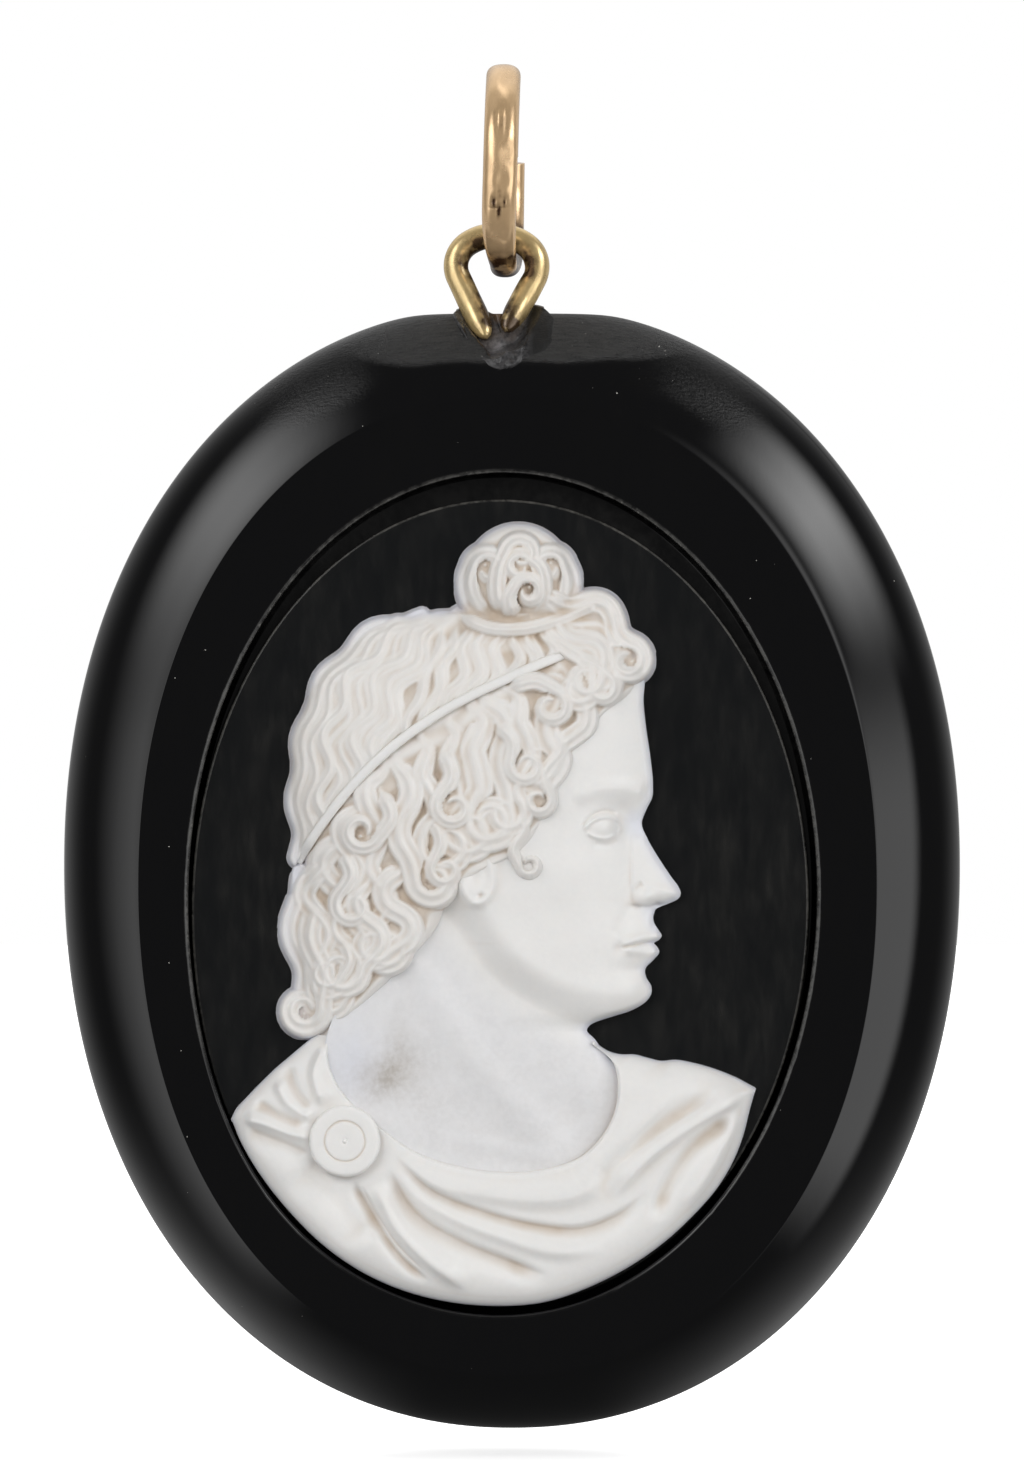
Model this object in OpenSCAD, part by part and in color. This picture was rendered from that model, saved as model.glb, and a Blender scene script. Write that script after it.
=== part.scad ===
// Cameo pendant: a white relief bust on a black oval plaque, set in a thick black stone surround.
// A wire bail is cemented into a notch at the top of the surround and hangs in an open jump ring.
// Millimetres. The face looks along -Y, +X is to its right, +Z is up.
// The origin is the inside top of the jump ring, where a chain carries the pendant.

/* [Jump ring] */
// Inside radius of the jump ring
ring_inner_r = 3.73; // [3.5:0.01:4.2]
// Thickness of the ring's wire, measured away from the ring's centre
ring_wire_t = 1.2; // [0.9:0.05:1.3]
// Width of the ring's wire, measured along the ring's axis
ring_wire_w = 1.55; // [1.3:0.05:1.7]
// Gap between the ring's cut ends at the back, as an angle
ring_gap_deg = 4; // [1:0.5:10]

/* [Bail] */
// Diameter of the bail's wire
bail_wire_d = 1.15; // [0.9:0.05:1.2]
// Play between the top of the bail and the jump ring
bail_play = 0.185; // [0.12:0.005:0.5]
// Radius of the arch, to the middle of its wire
bail_arch_r = 1.8; // [1.75:0.05:2]
// Angle of each leg away from the vertical
bail_leg_deg = 27; // [24:1:30]
// Length of each leg's full-width stretch
bail_leg_l = 1.85; // [1.8:0.05:2.1]
// Length of each leg's filed point
bail_point_l = 0.8; // [0.5:0.1:1]
// How far the bail leans forward on its way down
bail_lean_deg = 11; // [6:1:14]
// Sideways place of the bail
bail_x = -0.2; // [-0.3:0.05:0]

/* [Surround] */
// Half width of the surround
frame_a = 20.66; // [18:0.1:22]
// Half height of the surround's oval
frame_b = 25.94; // [24:0.1:27]
// Sideways place of the surround's centre
frame_x = 0.46; // [0:0.05:1]
// Height of the surround's centre
frame_z = -35.77; // [-37:0.05:-35]
// Roundness of the surround's oval, 2 for an ellipse
frame_power = 2.12; // [2:0.01:2.3]
// Amount ground off flat across the top of the oval
frame_top_cut = 0.45; // [0:0.05:0.6]
// Thickness of the surround
frame_t = 7.2; // [6:0.1:8]
// Front face of the surround
frame_front_y = -3.7; // [-4.2:0.1:-3.4]
// How far the outer band falls back from the crease to the rim
band_drop = 3.5; // [3:0.1:4]
// Slope of the outer band where it leaves the crease
band_slope_deg = 20; // [10:1:25]
// Depth of the straight rim between the band and the back's rounding
rim_t = 1.4; // [1:0.1:2]
// Rounding at the back edge
back_round = 2.2; // [1.5:0.1:2.3]
// Half width and half height of the crease oval
crease_a = 16.94; // [16.5:0.1:17.5]
crease_b = 22.48; // [22:0.1:23]
// Sideways place and height of the crease oval's centre
crease_x = 0.25; // [0:0.05:0.5]
crease_z = -36.64; // [-37:0.05:-36.4]
// Half width and half height of the recess
recess_a = 14.4; // [14.35:0.05:15]
recess_b = 19.3; // [19:0.05:19.8]
// Sideways place and height of the recess's centre
recess_x = 0.05; // [-0.1:0.05:0.3]
recess_z = -37.03; // [-37.1:0.01:-36.9]
// Depth of the recess below the front face
recess_depth = 2.1; // [1.5:0.1:2.3]
// Width of the bevel round the recess
recess_bevel = 0.25; // [0.1:0.05:0.4]

/* [Setting notch and cement] */
// Half width of the V notch where it meets the top of the surround
notch_half_w = 2.07; // [1.9:0.01:2.3]
// Height of the notch's tip
notch_tip_z = -12.88; // [-13.2:0.02:-12.6]
// Sideways place of the notch
notch_x = -0.09; // [-0.2:0.01:0.1]
// Back wall of the notch
notch_back_y = 0.1; // [0:0.05:0.5]
// How far the cement stands proud of the stone in front
cement_proud = 0.15; // [0.05:0.05:0.3]
// How far the cement is heaped above the top of the stone
cement_heap = 0.25; // [0.1:0.05:0.3]

/* [Cameo] */
// Half width and half height of the plaque
plaque_a = 14.15; // [14:0.02:14.3]
plaque_b = 18.55; // [18.4:0.05:18.7]
// Sideways place and height of the plaque's centre
plaque_x = -0.06; // [-0.1:0.02:0]
plaque_z = -37.48; // [-37.6:0.02:-37.4]
// Level of the plaque's face
ground_y = -3.0; // [-3.3:0.1:-2.8]
// Highest relief of the bust above the plaque
bust_relief = 2.65; // [2:0.05:3]
// Height of the bust's upright edge
bust_edge = 0.45; // [0.3:0.05:0.7]
// Radius of the brooch on the shoulder
brooch_r = 1.6; // [1.3:0.1:1.8]
// Sideways place and height of the brooch
brooch_x = -6.6; // [-7.4:0.1:-6]
brooch_z = -48.1; // [-48.6:0.1:-47.6]
// Level of the brooch's face above the plaque
brooch_rise = 2.3; // [2:0.1:2.5]

/* [Hidden] */

$fn = 48;
seam = 0.03; // play between pieces that are cemented together
past = 1; // how far a cutting shape reaches past what it cuts

// Heights and depths that follow from the sizes above
ring_mid_r = ring_inner_r + ring_wire_t / 2;
ring_z = -ring_inner_r;
bail_top_z = -2 * ring_inner_r + bail_play + bail_wire_d / 2;
frame_top_z = frame_z + frame_b - frame_top_cut;
frame_back_y = frame_front_y + frame_t;
rim_front_y = frame_front_y + band_drop;
rim_back_y = rim_front_y + rim_t;
recess_floor_y = frame_front_y + recess_depth;
plaque_back_y = recess_floor_y - 0.05;
bust_back_y = ground_y - 0.02;

// Counts of facets and rows
oval_sides = 72;
band_steps = 8;
back_steps = 5;
bust_rows = 62;
bust_columns = 30;

// Upper end of the bail's right leg, in the bail's own plane with its top at the origin
leg_x = bail_arch_r * cos(bail_leg_deg);
leg_y = -bail_arch_r - bail_arch_r * sin(bail_leg_deg);
leg_r = bail_wire_d / 2 - 0.01; // a leg is filed a hair thinner than the arch
leg_tuck = 0.1; // how far a leg starts inside the arch
point_r = 0.15; // radius left at the very tip of a leg

// Left edge of the bust, a row for each turn: height, sideways place
left_line = [
    [-20.05, -1.5],
    [-20.6, -2.95],
    [-21.6, -3.85],
    [-22.7, -4.05],
    [-23.6, -4.0],
    [-24.3, -4.9],
    [-25.2, -6.3],
    [-26.6, -7.8],
    [-28.4, -9.1],
    [-30.6, -9.8],
    [-33.0, -9.85],
    [-35.2, -9.3],
    [-37.2, -8.9],
    [-38.8, -9.6],
    [-40.2, -9.9],
    [-41.6, -9.5],
    [-43.0, -8.9],
    [-43.9, -9.0],
    [-45.2, -10.2],
    [-46.6, -11.6],
    [-47.3, -12.2]
];

// Right edge of the bust, a row for each turn: height, sideways place.
// The face keeps plain thirds: hair line to brow, brow to nose base, nose base to chin.
right_line = [
    [-20.05, -0.7],
    [-20.6, 0.75],
    [-21.6, 1.65],
    [-22.7, 1.85],
    [-23.5, 1.75],
    [-24.05, 2.6],
    [-24.6, 4.3],
    [-25.4, 6.0],
    [-26.4, 7.0],
    [-27.3, 7.1],
    [-28.1, 6.5],
    [-29.2, 6.45],
    [-30.8, 6.75],
    [-32.6, 6.9],
    [-33.8, 6.4],
    [-35.4, 7.3],
    [-36.9, 8.35],
    [-37.35, 8.0],
    [-37.75, 7.05],
    [-38.4, 6.95],
    [-38.95, 7.35],
    [-39.3, 7.0],
    [-39.8, 7.15],
    [-40.6, 6.5],
    [-41.5, 6.8],
    [-42.2, 6.4],
    [-42.6, 5.4],
    [-42.95, 4.4],
    [-43.4, 3.8],
    [-43.85, 4.3],
    [-44.2, 6.3],
    [-44.6, 8.2],
    [-45.2, 10.0],
    [-46.0, 11.5]
];

// Relief along the middle of the bust: height, share of the highest relief
relief_line = [
    [-20.05, 0.3],
    [-21.4, 0.6],
    [-23.6, 0.68],
    [-26.0, 0.9],
    [-30.0, 1.0],
    [-35.0, 1.0],
    [-39.5, 0.88],
    [-43.0, 0.7],
    [-46.0, 0.62],
    [-50.0, 0.72],
    [-54.0, 0.52],
    [-56.1, 0.28]
];

// Mantle folds, a row each: start x, start z, end x, end z, sag, half width, rise
mantle_folds = [
    [-8.7, -44.2, -7.2, -47.0, 0.1, 0.5, 0.22],
    [-10.4, -45.6, -7.8, -47.6, 0.1, 0.5, 0.2],
    [-5.4, -48.6, 8.2, -45.6, 2.2, 0.7, 0.45],
    [-5.4, -49.2, 10.4, -46.6, 3.6, 0.7, 0.36],
    [-5.8, -49.7, 7.6, -50.4, 2.4, 0.7, 0.34],
    [-6.6, -49.8, 2.4, -54.8, 1.2, 0.6, 0.3]
];

// Waves of the hair: spacing, rise
hair_wave = 1.5;
hair_rise = 0.13;
hair_low_z = -43.6;
hair_front_x = 1.6;

bust_top_z = left_line[0][0];
left_low_z = left_line[len(left_line) - 1][0];
right_low_z = right_line[len(right_line) - 1][0];
bust_low_z = plaque_z - plaque_b + 0.12;
left_inset = 0.22;
right_inset = 1.1;
foot_inset = 0.16;

// Point of an oval: centre [x, z], half sizes [a, b], roundness, angle
function oval_point(c, s, p, deg) = [
    c[0] + s[0] * sign(cos(deg)) * pow(abs(cos(deg)), 2 / p),
    c[1] + s[1] * sign(sin(deg)) * pow(abs(sin(deg)), 2 / p)
];

// Half width of the plaque's oval at a height
function plaque_half_w(z) = plaque_a * sqrt(max(0, 1 - pow((z - plaque_z) / plaque_b, 2)));

// Smooth curve through a table of [height, value] rows that run downwards
function row_at(t, z, i = 0) = (i >= len(t) - 2 || z >= t[i + 1][0]) ? i : row_at(t, z, i + 1);
function slope_at(t, i) =
    let(lo = max(i - 1, 0), hi = min(i + 1, len(t) - 1))
    (t[hi][1] - t[lo][1]) / (t[hi][0] - t[lo][0]);
function smooth_at(t, z) =
    let(
        i = row_at(t, z),
        h = t[i + 1][0] - t[i][0],
        u = min(1, max(0, (z - t[i][0]) / h)),
        u2 = u * u,
        u3 = u2 * u
    )
    (2 * u3 - 3 * u2 + 1) * t[i][1] + (u3 - 2 * u2 + u) * h * slope_at(t, i)
    + (3 * u2 - 2 * u3) * t[i + 1][1] + (u3 - u2) * h * slope_at(t, i + 1);

// Blend from 0 to 1 as v goes from a to b
function ease(v, a, b) = let(u = min(1, max(0, (v - a) / (b - a)))) u * u * (3 - 2 * u);

// Depth of the outer band behind the front face, u from 0 at the crease to 1 at the rim
band_w = frame_a - crease_a;
function band_fall(u) =
    let(straight = tan(band_slope_deg) * band_w)
    straight * u + (band_drop - straight) * (1 - sqrt(max(0, 1 - u * u)));

// One ring of the surround: centre, half sizes, roundness, depth
function frame_ring(c, s, p, y) = [
    for (k = [0 : oval_sides - 1])
        let(q = oval_point(c, s, p, 360 * k / oval_sides))
        [q[0], y, min(q[1], frame_top_z)]
];

// A ring between the crease at u = 0 and the rim at u = 1
function band_ring(u) = frame_ring(
    [crease_x + (frame_x - crease_x) * u, crease_z + (frame_z - crease_z) * u],
    [crease_a + (frame_a - crease_a) * u, crease_b + (frame_b - crease_b) * u],
    frame_power,
    frame_front_y + band_fall(u)
);

frame_rings = concat(
    [
        frame_ring([recess_x, recess_z], [recess_a, recess_b], 2, recess_floor_y),
        frame_ring([recess_x, recess_z], [recess_a, recess_b], 2, frame_front_y + recess_bevel),
        frame_ring(
            [recess_x, recess_z],
            [recess_a + recess_bevel, recess_b + recess_bevel],
            2,
            frame_front_y
        )
    ],
    [for (k = [0 : band_steps]) band_ring(sin(90 * k / band_steps))],
    [
        for (k = [0 : back_steps])
            let(
                deg = 90 * k / back_steps,
                inward = back_round * (1 - cos(deg)),
                y = rim_back_y + (frame_back_y - rim_back_y) * sin(deg)
            )
            frame_ring([frame_x, frame_z], [frame_a - inward, frame_b - inward], frame_power, y)
    ]
);

// Left and right edge of the bust at a height
function left_at(z) = z >= left_low_z
    ? smooth_at(left_line, z)
    : plaque_x - plaque_half_w(z) + left_inset + foot_inset * ease(z, left_low_z, bust_low_z);
function right_at(z) = z >= right_low_z
    ? smooth_at(right_line, z)
    : plaque_x + plaque_half_w(z) - right_inset + (right_inset - foot_inset - left_inset)
        * ease(z, right_low_z, bust_low_z);

// Rise of one fold at a point: a rounded ridge along a sagging line
function fold_rise(f, x, z) =
    let(
        u = (x - f[0]) / (f[2] - f[0]),
        inside = u > 0 && u < 1,
        line_z = f[1] + (f[3] - f[1]) * u - 4 * f[4] * u * (1 - u),
        d = (z - line_z) / f[5]
    )
    inside ? f[6] * exp(-d * d) * pow(sin(180 * u), 0.5) : 0;
function folds_rise(x, z, i = 0) = i >= len(mantle_folds)
    ? 0
    : fold_rise(mantle_folds[i], x, z) + folds_rise(x, z, i + 1);

// Rise of the hair's waves at a point: slanted ripples that fade out at the face and the neck
function hair_ripple(x, z) =
    hair_rise * sin(360 * (x * 0.55 + z + 0.5 * sin(70 * x)) / hair_wave)
    * ease(z, hair_low_z - 1, hair_low_z + 1)
    * ease(-x, -hair_front_x - 1.2 * ease(z, -33, -28) * 3, -hair_front_x + 1.5);

// Depth of the bust's surface: s runs from 0 at the left edge to 1 at the right edge
function bust_y(x, z, s) =
    let(
        dome = pow(max(0, 1 - pow(abs(2 * s - 1), 2.6)), 0.5),
        high = bust_relief * smooth_at(relief_line, z),
        detail = folds_rise(x, z) + hair_ripple(x, z)
    )
    bust_back_y - bust_edge - (max(high - bust_edge, 0.1) + detail) * dome;

function bust_row_z(i) = bust_top_z + (bust_low_z - bust_top_z) * i / (bust_rows - 1);

// Bust points: for each row the back's left and right corners, then the face from left to right
bust_points = [
    for (i = [0 : bust_rows - 1])
        let(z = bust_row_z(i), l = left_at(z), r = right_at(z))
        each concat(
            [[l, bust_back_y, z], [r, bust_back_y, z]],
            [
                for (j = [0 : bust_columns - 1])
                    let(s = (1 - cos(180 * j / (bust_columns - 1))) / 2, x = l + (r - l) * s)
                    [x, bust_y(x, z, s), z]
            ]
        )
];
bust_stride = bust_columns + 2;

// One strip of faces between neighbouring rows: face, two side walls and back
function bust_strip(a, b) = concat(
    [for (j = [2 : bust_columns]) [a + j, a + j + 1, b + j + 1]],
    [for (j = [2 : bust_columns]) [a + j, b + j + 1, b + j]],
    [
        [a, a + 2, b + 2],
        [a, b + 2, b],
        [a + 1, b + 1, b + bust_columns + 1],
        [a + 1, b + bust_columns + 1, a + bust_columns + 1],
        [a, b, b + 1],
        [a, b + 1, a + 1]
    ]
);
function bust_cap(a) = concat([a, a + 1], [for (j = [bust_columns + 1 : -1 : 2]) a + j]);
function turned(f) = [for (k = [len(f) - 1 : -1 : 0]) f[k]];

// The bail's two legs with their filed points, wider all round by grow
module bail_legs(grow) {
    for (side = [-1, 1])
        translate([side * leg_x, leg_y, 0])
            rotate([0, 0, -side * bail_leg_deg])
                rotate([90, 0, 0]) {
                    translate([0, 0, -leg_tuck])
                        cylinder(h = bail_leg_l + leg_tuck, r = leg_r + grow);
                    translate([0, 0, bail_leg_l])
                        cylinder(h = bail_point_l, r1 = leg_r + grow, r2 = point_r + grow);
                }
}

// Places a shape drawn in the bail's plane where the bail hangs
module in_bail_plane() {
    translate([bail_x, 0, bail_top_z])
        rotate([90 - bail_lean_deg, 0, 0])
            children();
}

// Outline of the notch: height of its top edge, play inside its walls
module notch_outline(top_z, play) {
    slope = notch_half_w / (frame_top_z - notch_tip_z);
    half_w = slope * (top_z - notch_tip_z) - play;
    polygon([
        [notch_x, notch_tip_z + play / slope],
        [notch_x + half_w, top_z],
        [notch_x - half_w, top_z]
    ]);
}

module jump_ring() {
    flat_w = ring_wire_w - ring_wire_t;
    color("#c79a73")
        translate([0, 0, ring_z])
            rotate([0, 90, 0])
                rotate([0, 0, 90 + ring_gap_deg / 2])
                    rotate_extrude(angle = 360 - ring_gap_deg)
                        translate([ring_mid_r, 0]) {
                            square([ring_wire_t, flat_w], center = true);
                            for (side = [-1, 1])
                                translate([0, side * flat_w / 2])
                                    circle(d = ring_wire_t);
                        }
}

module bail() {
    color("#b8953f")
        in_bail_plane() {
            translate([0, -bail_arch_r, 0])
                rotate([0, 0, -bail_leg_deg])
                    rotate_extrude(angle = 180 + 2 * bail_leg_deg)
                        translate([bail_arch_r, 0])
                            circle(d = bail_wire_d);
            bail_legs(0);
        }
}

// Side outline of the cement, front on the left: it follows the band, stands proud and is heaped on top
module cement_side() {
    crease_top_z = crease_z + crease_b;
    rim_top_z = frame_z + frame_b;
    front = [
        for (k = [2 : 9])
            let(u = k / 10)
            [
                frame_front_y + band_fall(u) - cement_proud,
                min(crease_top_z + (rim_top_z - crease_top_z) * u, frame_top_z)
            ]
    ];
    back_y = notch_back_y - seam;
    polygon(concat(
        [[back_y, front[0][1]]],
        front,
        [
            [front[7][0] + 0.3, frame_top_z + cement_heap * 0.7],
            [front[7][0] + 0.8, frame_top_z + cement_heap],
            [back_y - 0.3, frame_top_z + cement_heap],
            [back_y, frame_top_z + cement_heap * 0.6]
        ]
    ));
}

module bail_cement() {
    color("#2e2c2c")
        difference() {
            intersection() {
                translate([0, frame_back_y, 0])
                    rotate([90, 0, 0])
                        linear_extrude(frame_t + past)
                            notch_outline(frame_top_z + cement_heap + past, seam);
                translate([notch_x - notch_half_w - past, 0, 0])
                    rotate([90, 0, 90])
                        linear_extrude(2 * (notch_half_w + past))
                            cement_side();
            }
            in_bail_plane()
                bail_legs(seam);
        }
}

module frame() {
    n = oval_sides;
    last = len(frame_rings) - 1;
    color("#141214")
        difference() {
            polyhedron(
                points = [for (ring = frame_rings) each ring],
                faces = concat(
                    [[for (k = [0 : n - 1]) k]],
                    [
                        for (r = [0 : last - 1])
                            for (k = [0 : n - 1])
                                let(a = r * n + k, b = r * n + (k + 1) % n)
                                each [[a, a + n, b + n], [a, b + n, b]]
                    ],
                    [[for (k = [n - 1 : -1 : 0]) last * n + k]]
                )
            );
            translate([0, notch_back_y, 0])
                rotate([90, 0, 0])
                    linear_extrude(frame_t)
                        notch_outline(frame_top_z + past, 0);
        }
}

module cameo_ground() {
    color("#1d1e20")
        translate([0, plaque_back_y, 0])
            rotate([90, 0, 0])
                linear_extrude(plaque_back_y - ground_y)
                    polygon([
                        for (k = [0 : oval_sides - 1])
                            oval_point([plaque_x, plaque_z], [plaque_a, plaque_b], 2, 360 * k / oval_sides)
                    ]);
}

module cameo_bust() {
    last = (bust_rows - 1) * bust_stride;
    color("#ece9e2") {
        polyhedron(
            points = bust_points,
            faces = concat(
                [bust_cap(0)],
                [for (i = [0 : bust_rows - 2]) each bust_strip(i * bust_stride, (i + 1) * bust_stride)],
                [turned(bust_cap(last))]
            )
        );
        translate([brooch_x, bust_back_y, brooch_z])
            rotate([90, 0, 0])
                cylinder(h = brooch_rise, r = brooch_r);
    }
}

jump_ring();
bail();
bail_cement();
frame();
cameo_ground();
cameo_bust();
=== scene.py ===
import math

import bpy
import numpy as np
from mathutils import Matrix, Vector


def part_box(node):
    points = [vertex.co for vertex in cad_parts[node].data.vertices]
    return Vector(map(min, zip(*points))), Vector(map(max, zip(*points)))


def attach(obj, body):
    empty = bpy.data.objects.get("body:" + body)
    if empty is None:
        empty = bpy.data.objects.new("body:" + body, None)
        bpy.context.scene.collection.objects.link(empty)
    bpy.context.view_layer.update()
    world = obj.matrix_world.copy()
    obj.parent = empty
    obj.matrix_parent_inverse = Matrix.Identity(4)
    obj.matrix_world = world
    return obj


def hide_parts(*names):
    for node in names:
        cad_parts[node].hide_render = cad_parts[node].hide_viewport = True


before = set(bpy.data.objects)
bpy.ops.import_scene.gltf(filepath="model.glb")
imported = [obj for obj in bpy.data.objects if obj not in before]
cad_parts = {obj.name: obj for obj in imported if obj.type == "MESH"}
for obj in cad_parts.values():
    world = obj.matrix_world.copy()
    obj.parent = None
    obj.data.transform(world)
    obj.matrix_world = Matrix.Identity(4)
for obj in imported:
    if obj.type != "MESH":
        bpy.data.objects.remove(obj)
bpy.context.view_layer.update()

# A cameo pendant: white relief bust on a black plaque in a black stone surround, wire bail, open jump ring.
# Shapes are worked out in millimetres, x to the right, z up, y away from the viewer, and set in metres.
mm = 0.001
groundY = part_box("cameo_ground")[0].y / mm  # the plaque's face, where the relief starts
print("frame loaded, plaque face at y", round(groundY, 3))


# Blend from 0 to 1 as v goes from a to b, flat at both ends. With b below a it falls as v grows.
def ease(v, a, b):
    u = np.clip((v - a) / (b - a), 0, 1)
    return u * u * (3 - 2 * u)


# The larger of two heights, with the corner between them rounded over about k
def smoothMax(a, b, k):
    return 0.5 * (a + b + np.sqrt((a - b) ** 2 + k * k))


# Quarter circle that climbs from 0 to 1 while d goes from 0 to width
def quarterRound(d, width):
    return np.sqrt(1 - (1 - np.clip(d / width, 0, 1)) ** 2)


# A sine or cosine raised to a power with its sign kept, which squares or pinches a circle
def signedPower(v, power):
    return np.sign(v) * np.abs(v) ** power


# Hump of height 1 at the middle, down to about a third at half on either side
def hump(v, middle, half):
    return np.exp(-((v - middle) / half) ** 2)


# Hump over a plane: half sizes a and b round (cx, cz), turned by deg
def bell(x, z, cx, cz, a, b, deg=0):
    c, s = math.cos(math.radians(deg)), math.sin(math.radians(deg))
    u = ((x - cx) * c + (z - cz) * s) / a
    v = ((z - cz) * c - (x - cx) * s) / b
    return np.exp(-(u * u + v * v))


# Angles of a whole turn in equal steps
def fullTurn(count):
    return np.linspace(0, 2 * math.pi, count, endpoint=False)


# Smooth curve through a table's rows (place, value): cubic pieces, the slope at a row is that between
# the rows beside it
def tableCurve(table, at):
    table = np.array(table, float)
    keys, values = table[np.argsort(table[:, 0])].T
    slopes = np.gradient(values, keys)
    i = np.clip(np.searchsorted(keys, at) - 1, 0, len(keys) - 2)
    h = keys[i + 1] - keys[i]
    u = np.clip((at - keys[i]) / h, 0, 1)
    start = (2 * u**3 - 3 * u**2 + 1) * values[i] + (u**3 - 2 * u**2 + u) * h * slopes[i]
    return start + (3 * u**2 - 2 * u**3) * values[i + 1] + (u**3 - u**2) * h * slopes[i + 1]


# Length of the way from a line's first point to each of its points
def runOf(line):
    return np.concatenate([[0], np.cumsum(np.linalg.norm(np.diff(line, axis=0), axis=1))])


# Unit vector to the left of a line at each of its points
def leftOf(line):
    way = np.gradient(line, axis=-2)
    way /= np.linalg.norm(way, axis=-1)[..., None]
    return np.stack([-way[..., 1], way[..., 0]], -1)


# Smooth line through a few points, cut into count points at equal distances
def lineThrough(points, count):
    points = np.array(points, float)
    knots = runOf(points)
    fine = np.linspace(0, knots[-1], 24 * len(points))
    curve = np.stack([tableCurve(np.stack([knots, column], 1), fine) for column in points.T], 1)
    run = runOf(curve)
    even = np.linspace(0, run[-1], count)
    return np.stack([np.interp(even, run, column) for column in curve.T], 1)


# For every (x, z): distance to a line, side of it (+1 on its left), share of the way along it
def nearLine(x, z, line):
    best, side, along = np.full(x.shape, 1e6), np.zeros(x.shape), np.zeros(x.shape)
    steps = len(line) - 1
    for k in range(steps):
        ax, az = line[k]
        dx, dz = line[k + 1] - line[k]
        t = np.clip(((x - ax) * dx + (z - az) * dz) / (dx * dx + dz * dz), 0, 1)
        px, pz = x - ax - t * dx, z - az - t * dz
        dist = px * px + pz * pz
        closer = dist < best
        best = np.where(closer, dist, best)
        side = np.where(closer, np.sign(dx * pz - dz * px), side)
        along = np.where(closer, (k + t) / steps, along)
    return np.sqrt(best), side, along


# Soft random field between about -1 and 1: a sum of waves of one length in random directions
def softNoise(x, y, z, length, seed, waves=9):
    rng = np.random.default_rng(seed)
    total = np.zeros(np.shape(x + y + z))
    for _ in range(waves):
        way = rng.normal(size=3)
        way *= 2 * math.pi / length * rng.uniform(0.7, 1.4) / np.linalg.norm(way)
        total = total + np.sin(way[0] * x + way[1] * y + way[2] * z + rng.uniform(0, 2 * math.pi))
    return total / math.sqrt(waves)


# Heights averaged with their four neighbours, some times over
def blurred(h, times):
    for _ in range(times):
        wide = np.pad(h, 1, mode="edge")
        h = (wide[:-2, 1:-1] + wide[2:, 1:-1] + wide[1:-1, :-2] + wide[1:-1, 2:] + wide[1:-1, 1:-1]) / 5
    return h


# Rings of points made one mesh: rings x points round x 3, in millimetres. Each ring closes on itself, each
# end closes with a fan to its middle, and the faces are turned so that the volume is positive. values are
# numbers for every point, kept as attributes.
def meshFromRings(name, rings, values):
    rings = np.asarray(rings, float)
    rows, cols, _ = rings.shape
    index = np.arange(rows * cols).reshape(rows, cols)
    after = np.roll(index, -1, axis=1)
    quads = np.stack([index[:-1], after[:-1], after[1:], index[1:]], -1).reshape(-1, 4)
    first = np.stack([after[0], index[0], np.full(cols, rows * cols)], -1)
    last = np.stack([index[-1], after[-1], np.full(cols, rows * cols + 1)], -1)
    fans = np.concatenate([first, last])
    points = np.concatenate([rings.reshape(-1, 3), rings[:1].mean(axis=1), rings[-1:].mean(axis=1)])
    tris = np.concatenate([quads[:, [0, 1, 2]], quads[:, [0, 2, 3]], fans])
    centred = points - points.mean(axis=0)
    a, b, c = centred[tris[:, 0]], centred[tris[:, 1]], centred[tris[:, 2]]
    if np.einsum("ij,ij->i", a, np.cross(b, c)).sum() < 0:
        quads, fans = quads[:, ::-1], fans[:, ::-1]
    loops = np.concatenate([quads.ravel(), fans.ravel()])
    starts = np.concatenate([np.arange(len(quads)) * 4, len(quads) * 4 + np.arange(len(fans)) * 3])
    mesh = bpy.data.meshes.new(name)
    mesh.vertices.add(len(points))
    mesh.vertices.foreach_set("co", (points * mm).ravel())
    mesh.loops.add(len(loops))
    mesh.loops.foreach_set("vertex_index", loops.astype(np.int32))
    mesh.polygons.add(len(starts))
    mesh.polygons.foreach_set("loop_start", starts.astype(np.int32))
    mesh.update(calc_edges=True)
    for key, value in values.items():
        value = np.broadcast_to(value, (rows, cols))
        value = np.concatenate([value.ravel(), [value[0].mean(), value[-1].mean()]])
        mesh.attributes.new(key, "FLOAT", "POINT").data.foreach_set("value", value.astype(np.float32))
    mesh.validate()
    mesh.shade_smooth()
    piece = bpy.data.objects.new(name, mesh)
    bpy.context.scene.collection.objects.link(piece)
    return piece


# Each CAD node's body and finish
homes = {
    "jump_ring": ("ring", "rose_gold"),
    "bail": ("pendant", "yellow_gold"),
    "frame": ("pendant", "black_stone"),
    "cameo_ground": ("pendant", "plaque_stone"),
    "bail_cement": ("pendant", "cement"),
    "cameo_bust": ("pendant", "white_stone"),
}


# A finished piece: it stands for a CAD node, moves with the node's body and wears its material
def makePiece(name, node, material, rings, values):
    piece = meshFromRings(name, rings, values)
    piece.data.materials.append(material)
    body, slot = homes[node]
    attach(piece, body)
    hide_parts(node)
    print("made", piece.name, len(piece.data.polygons), "faces")


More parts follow.
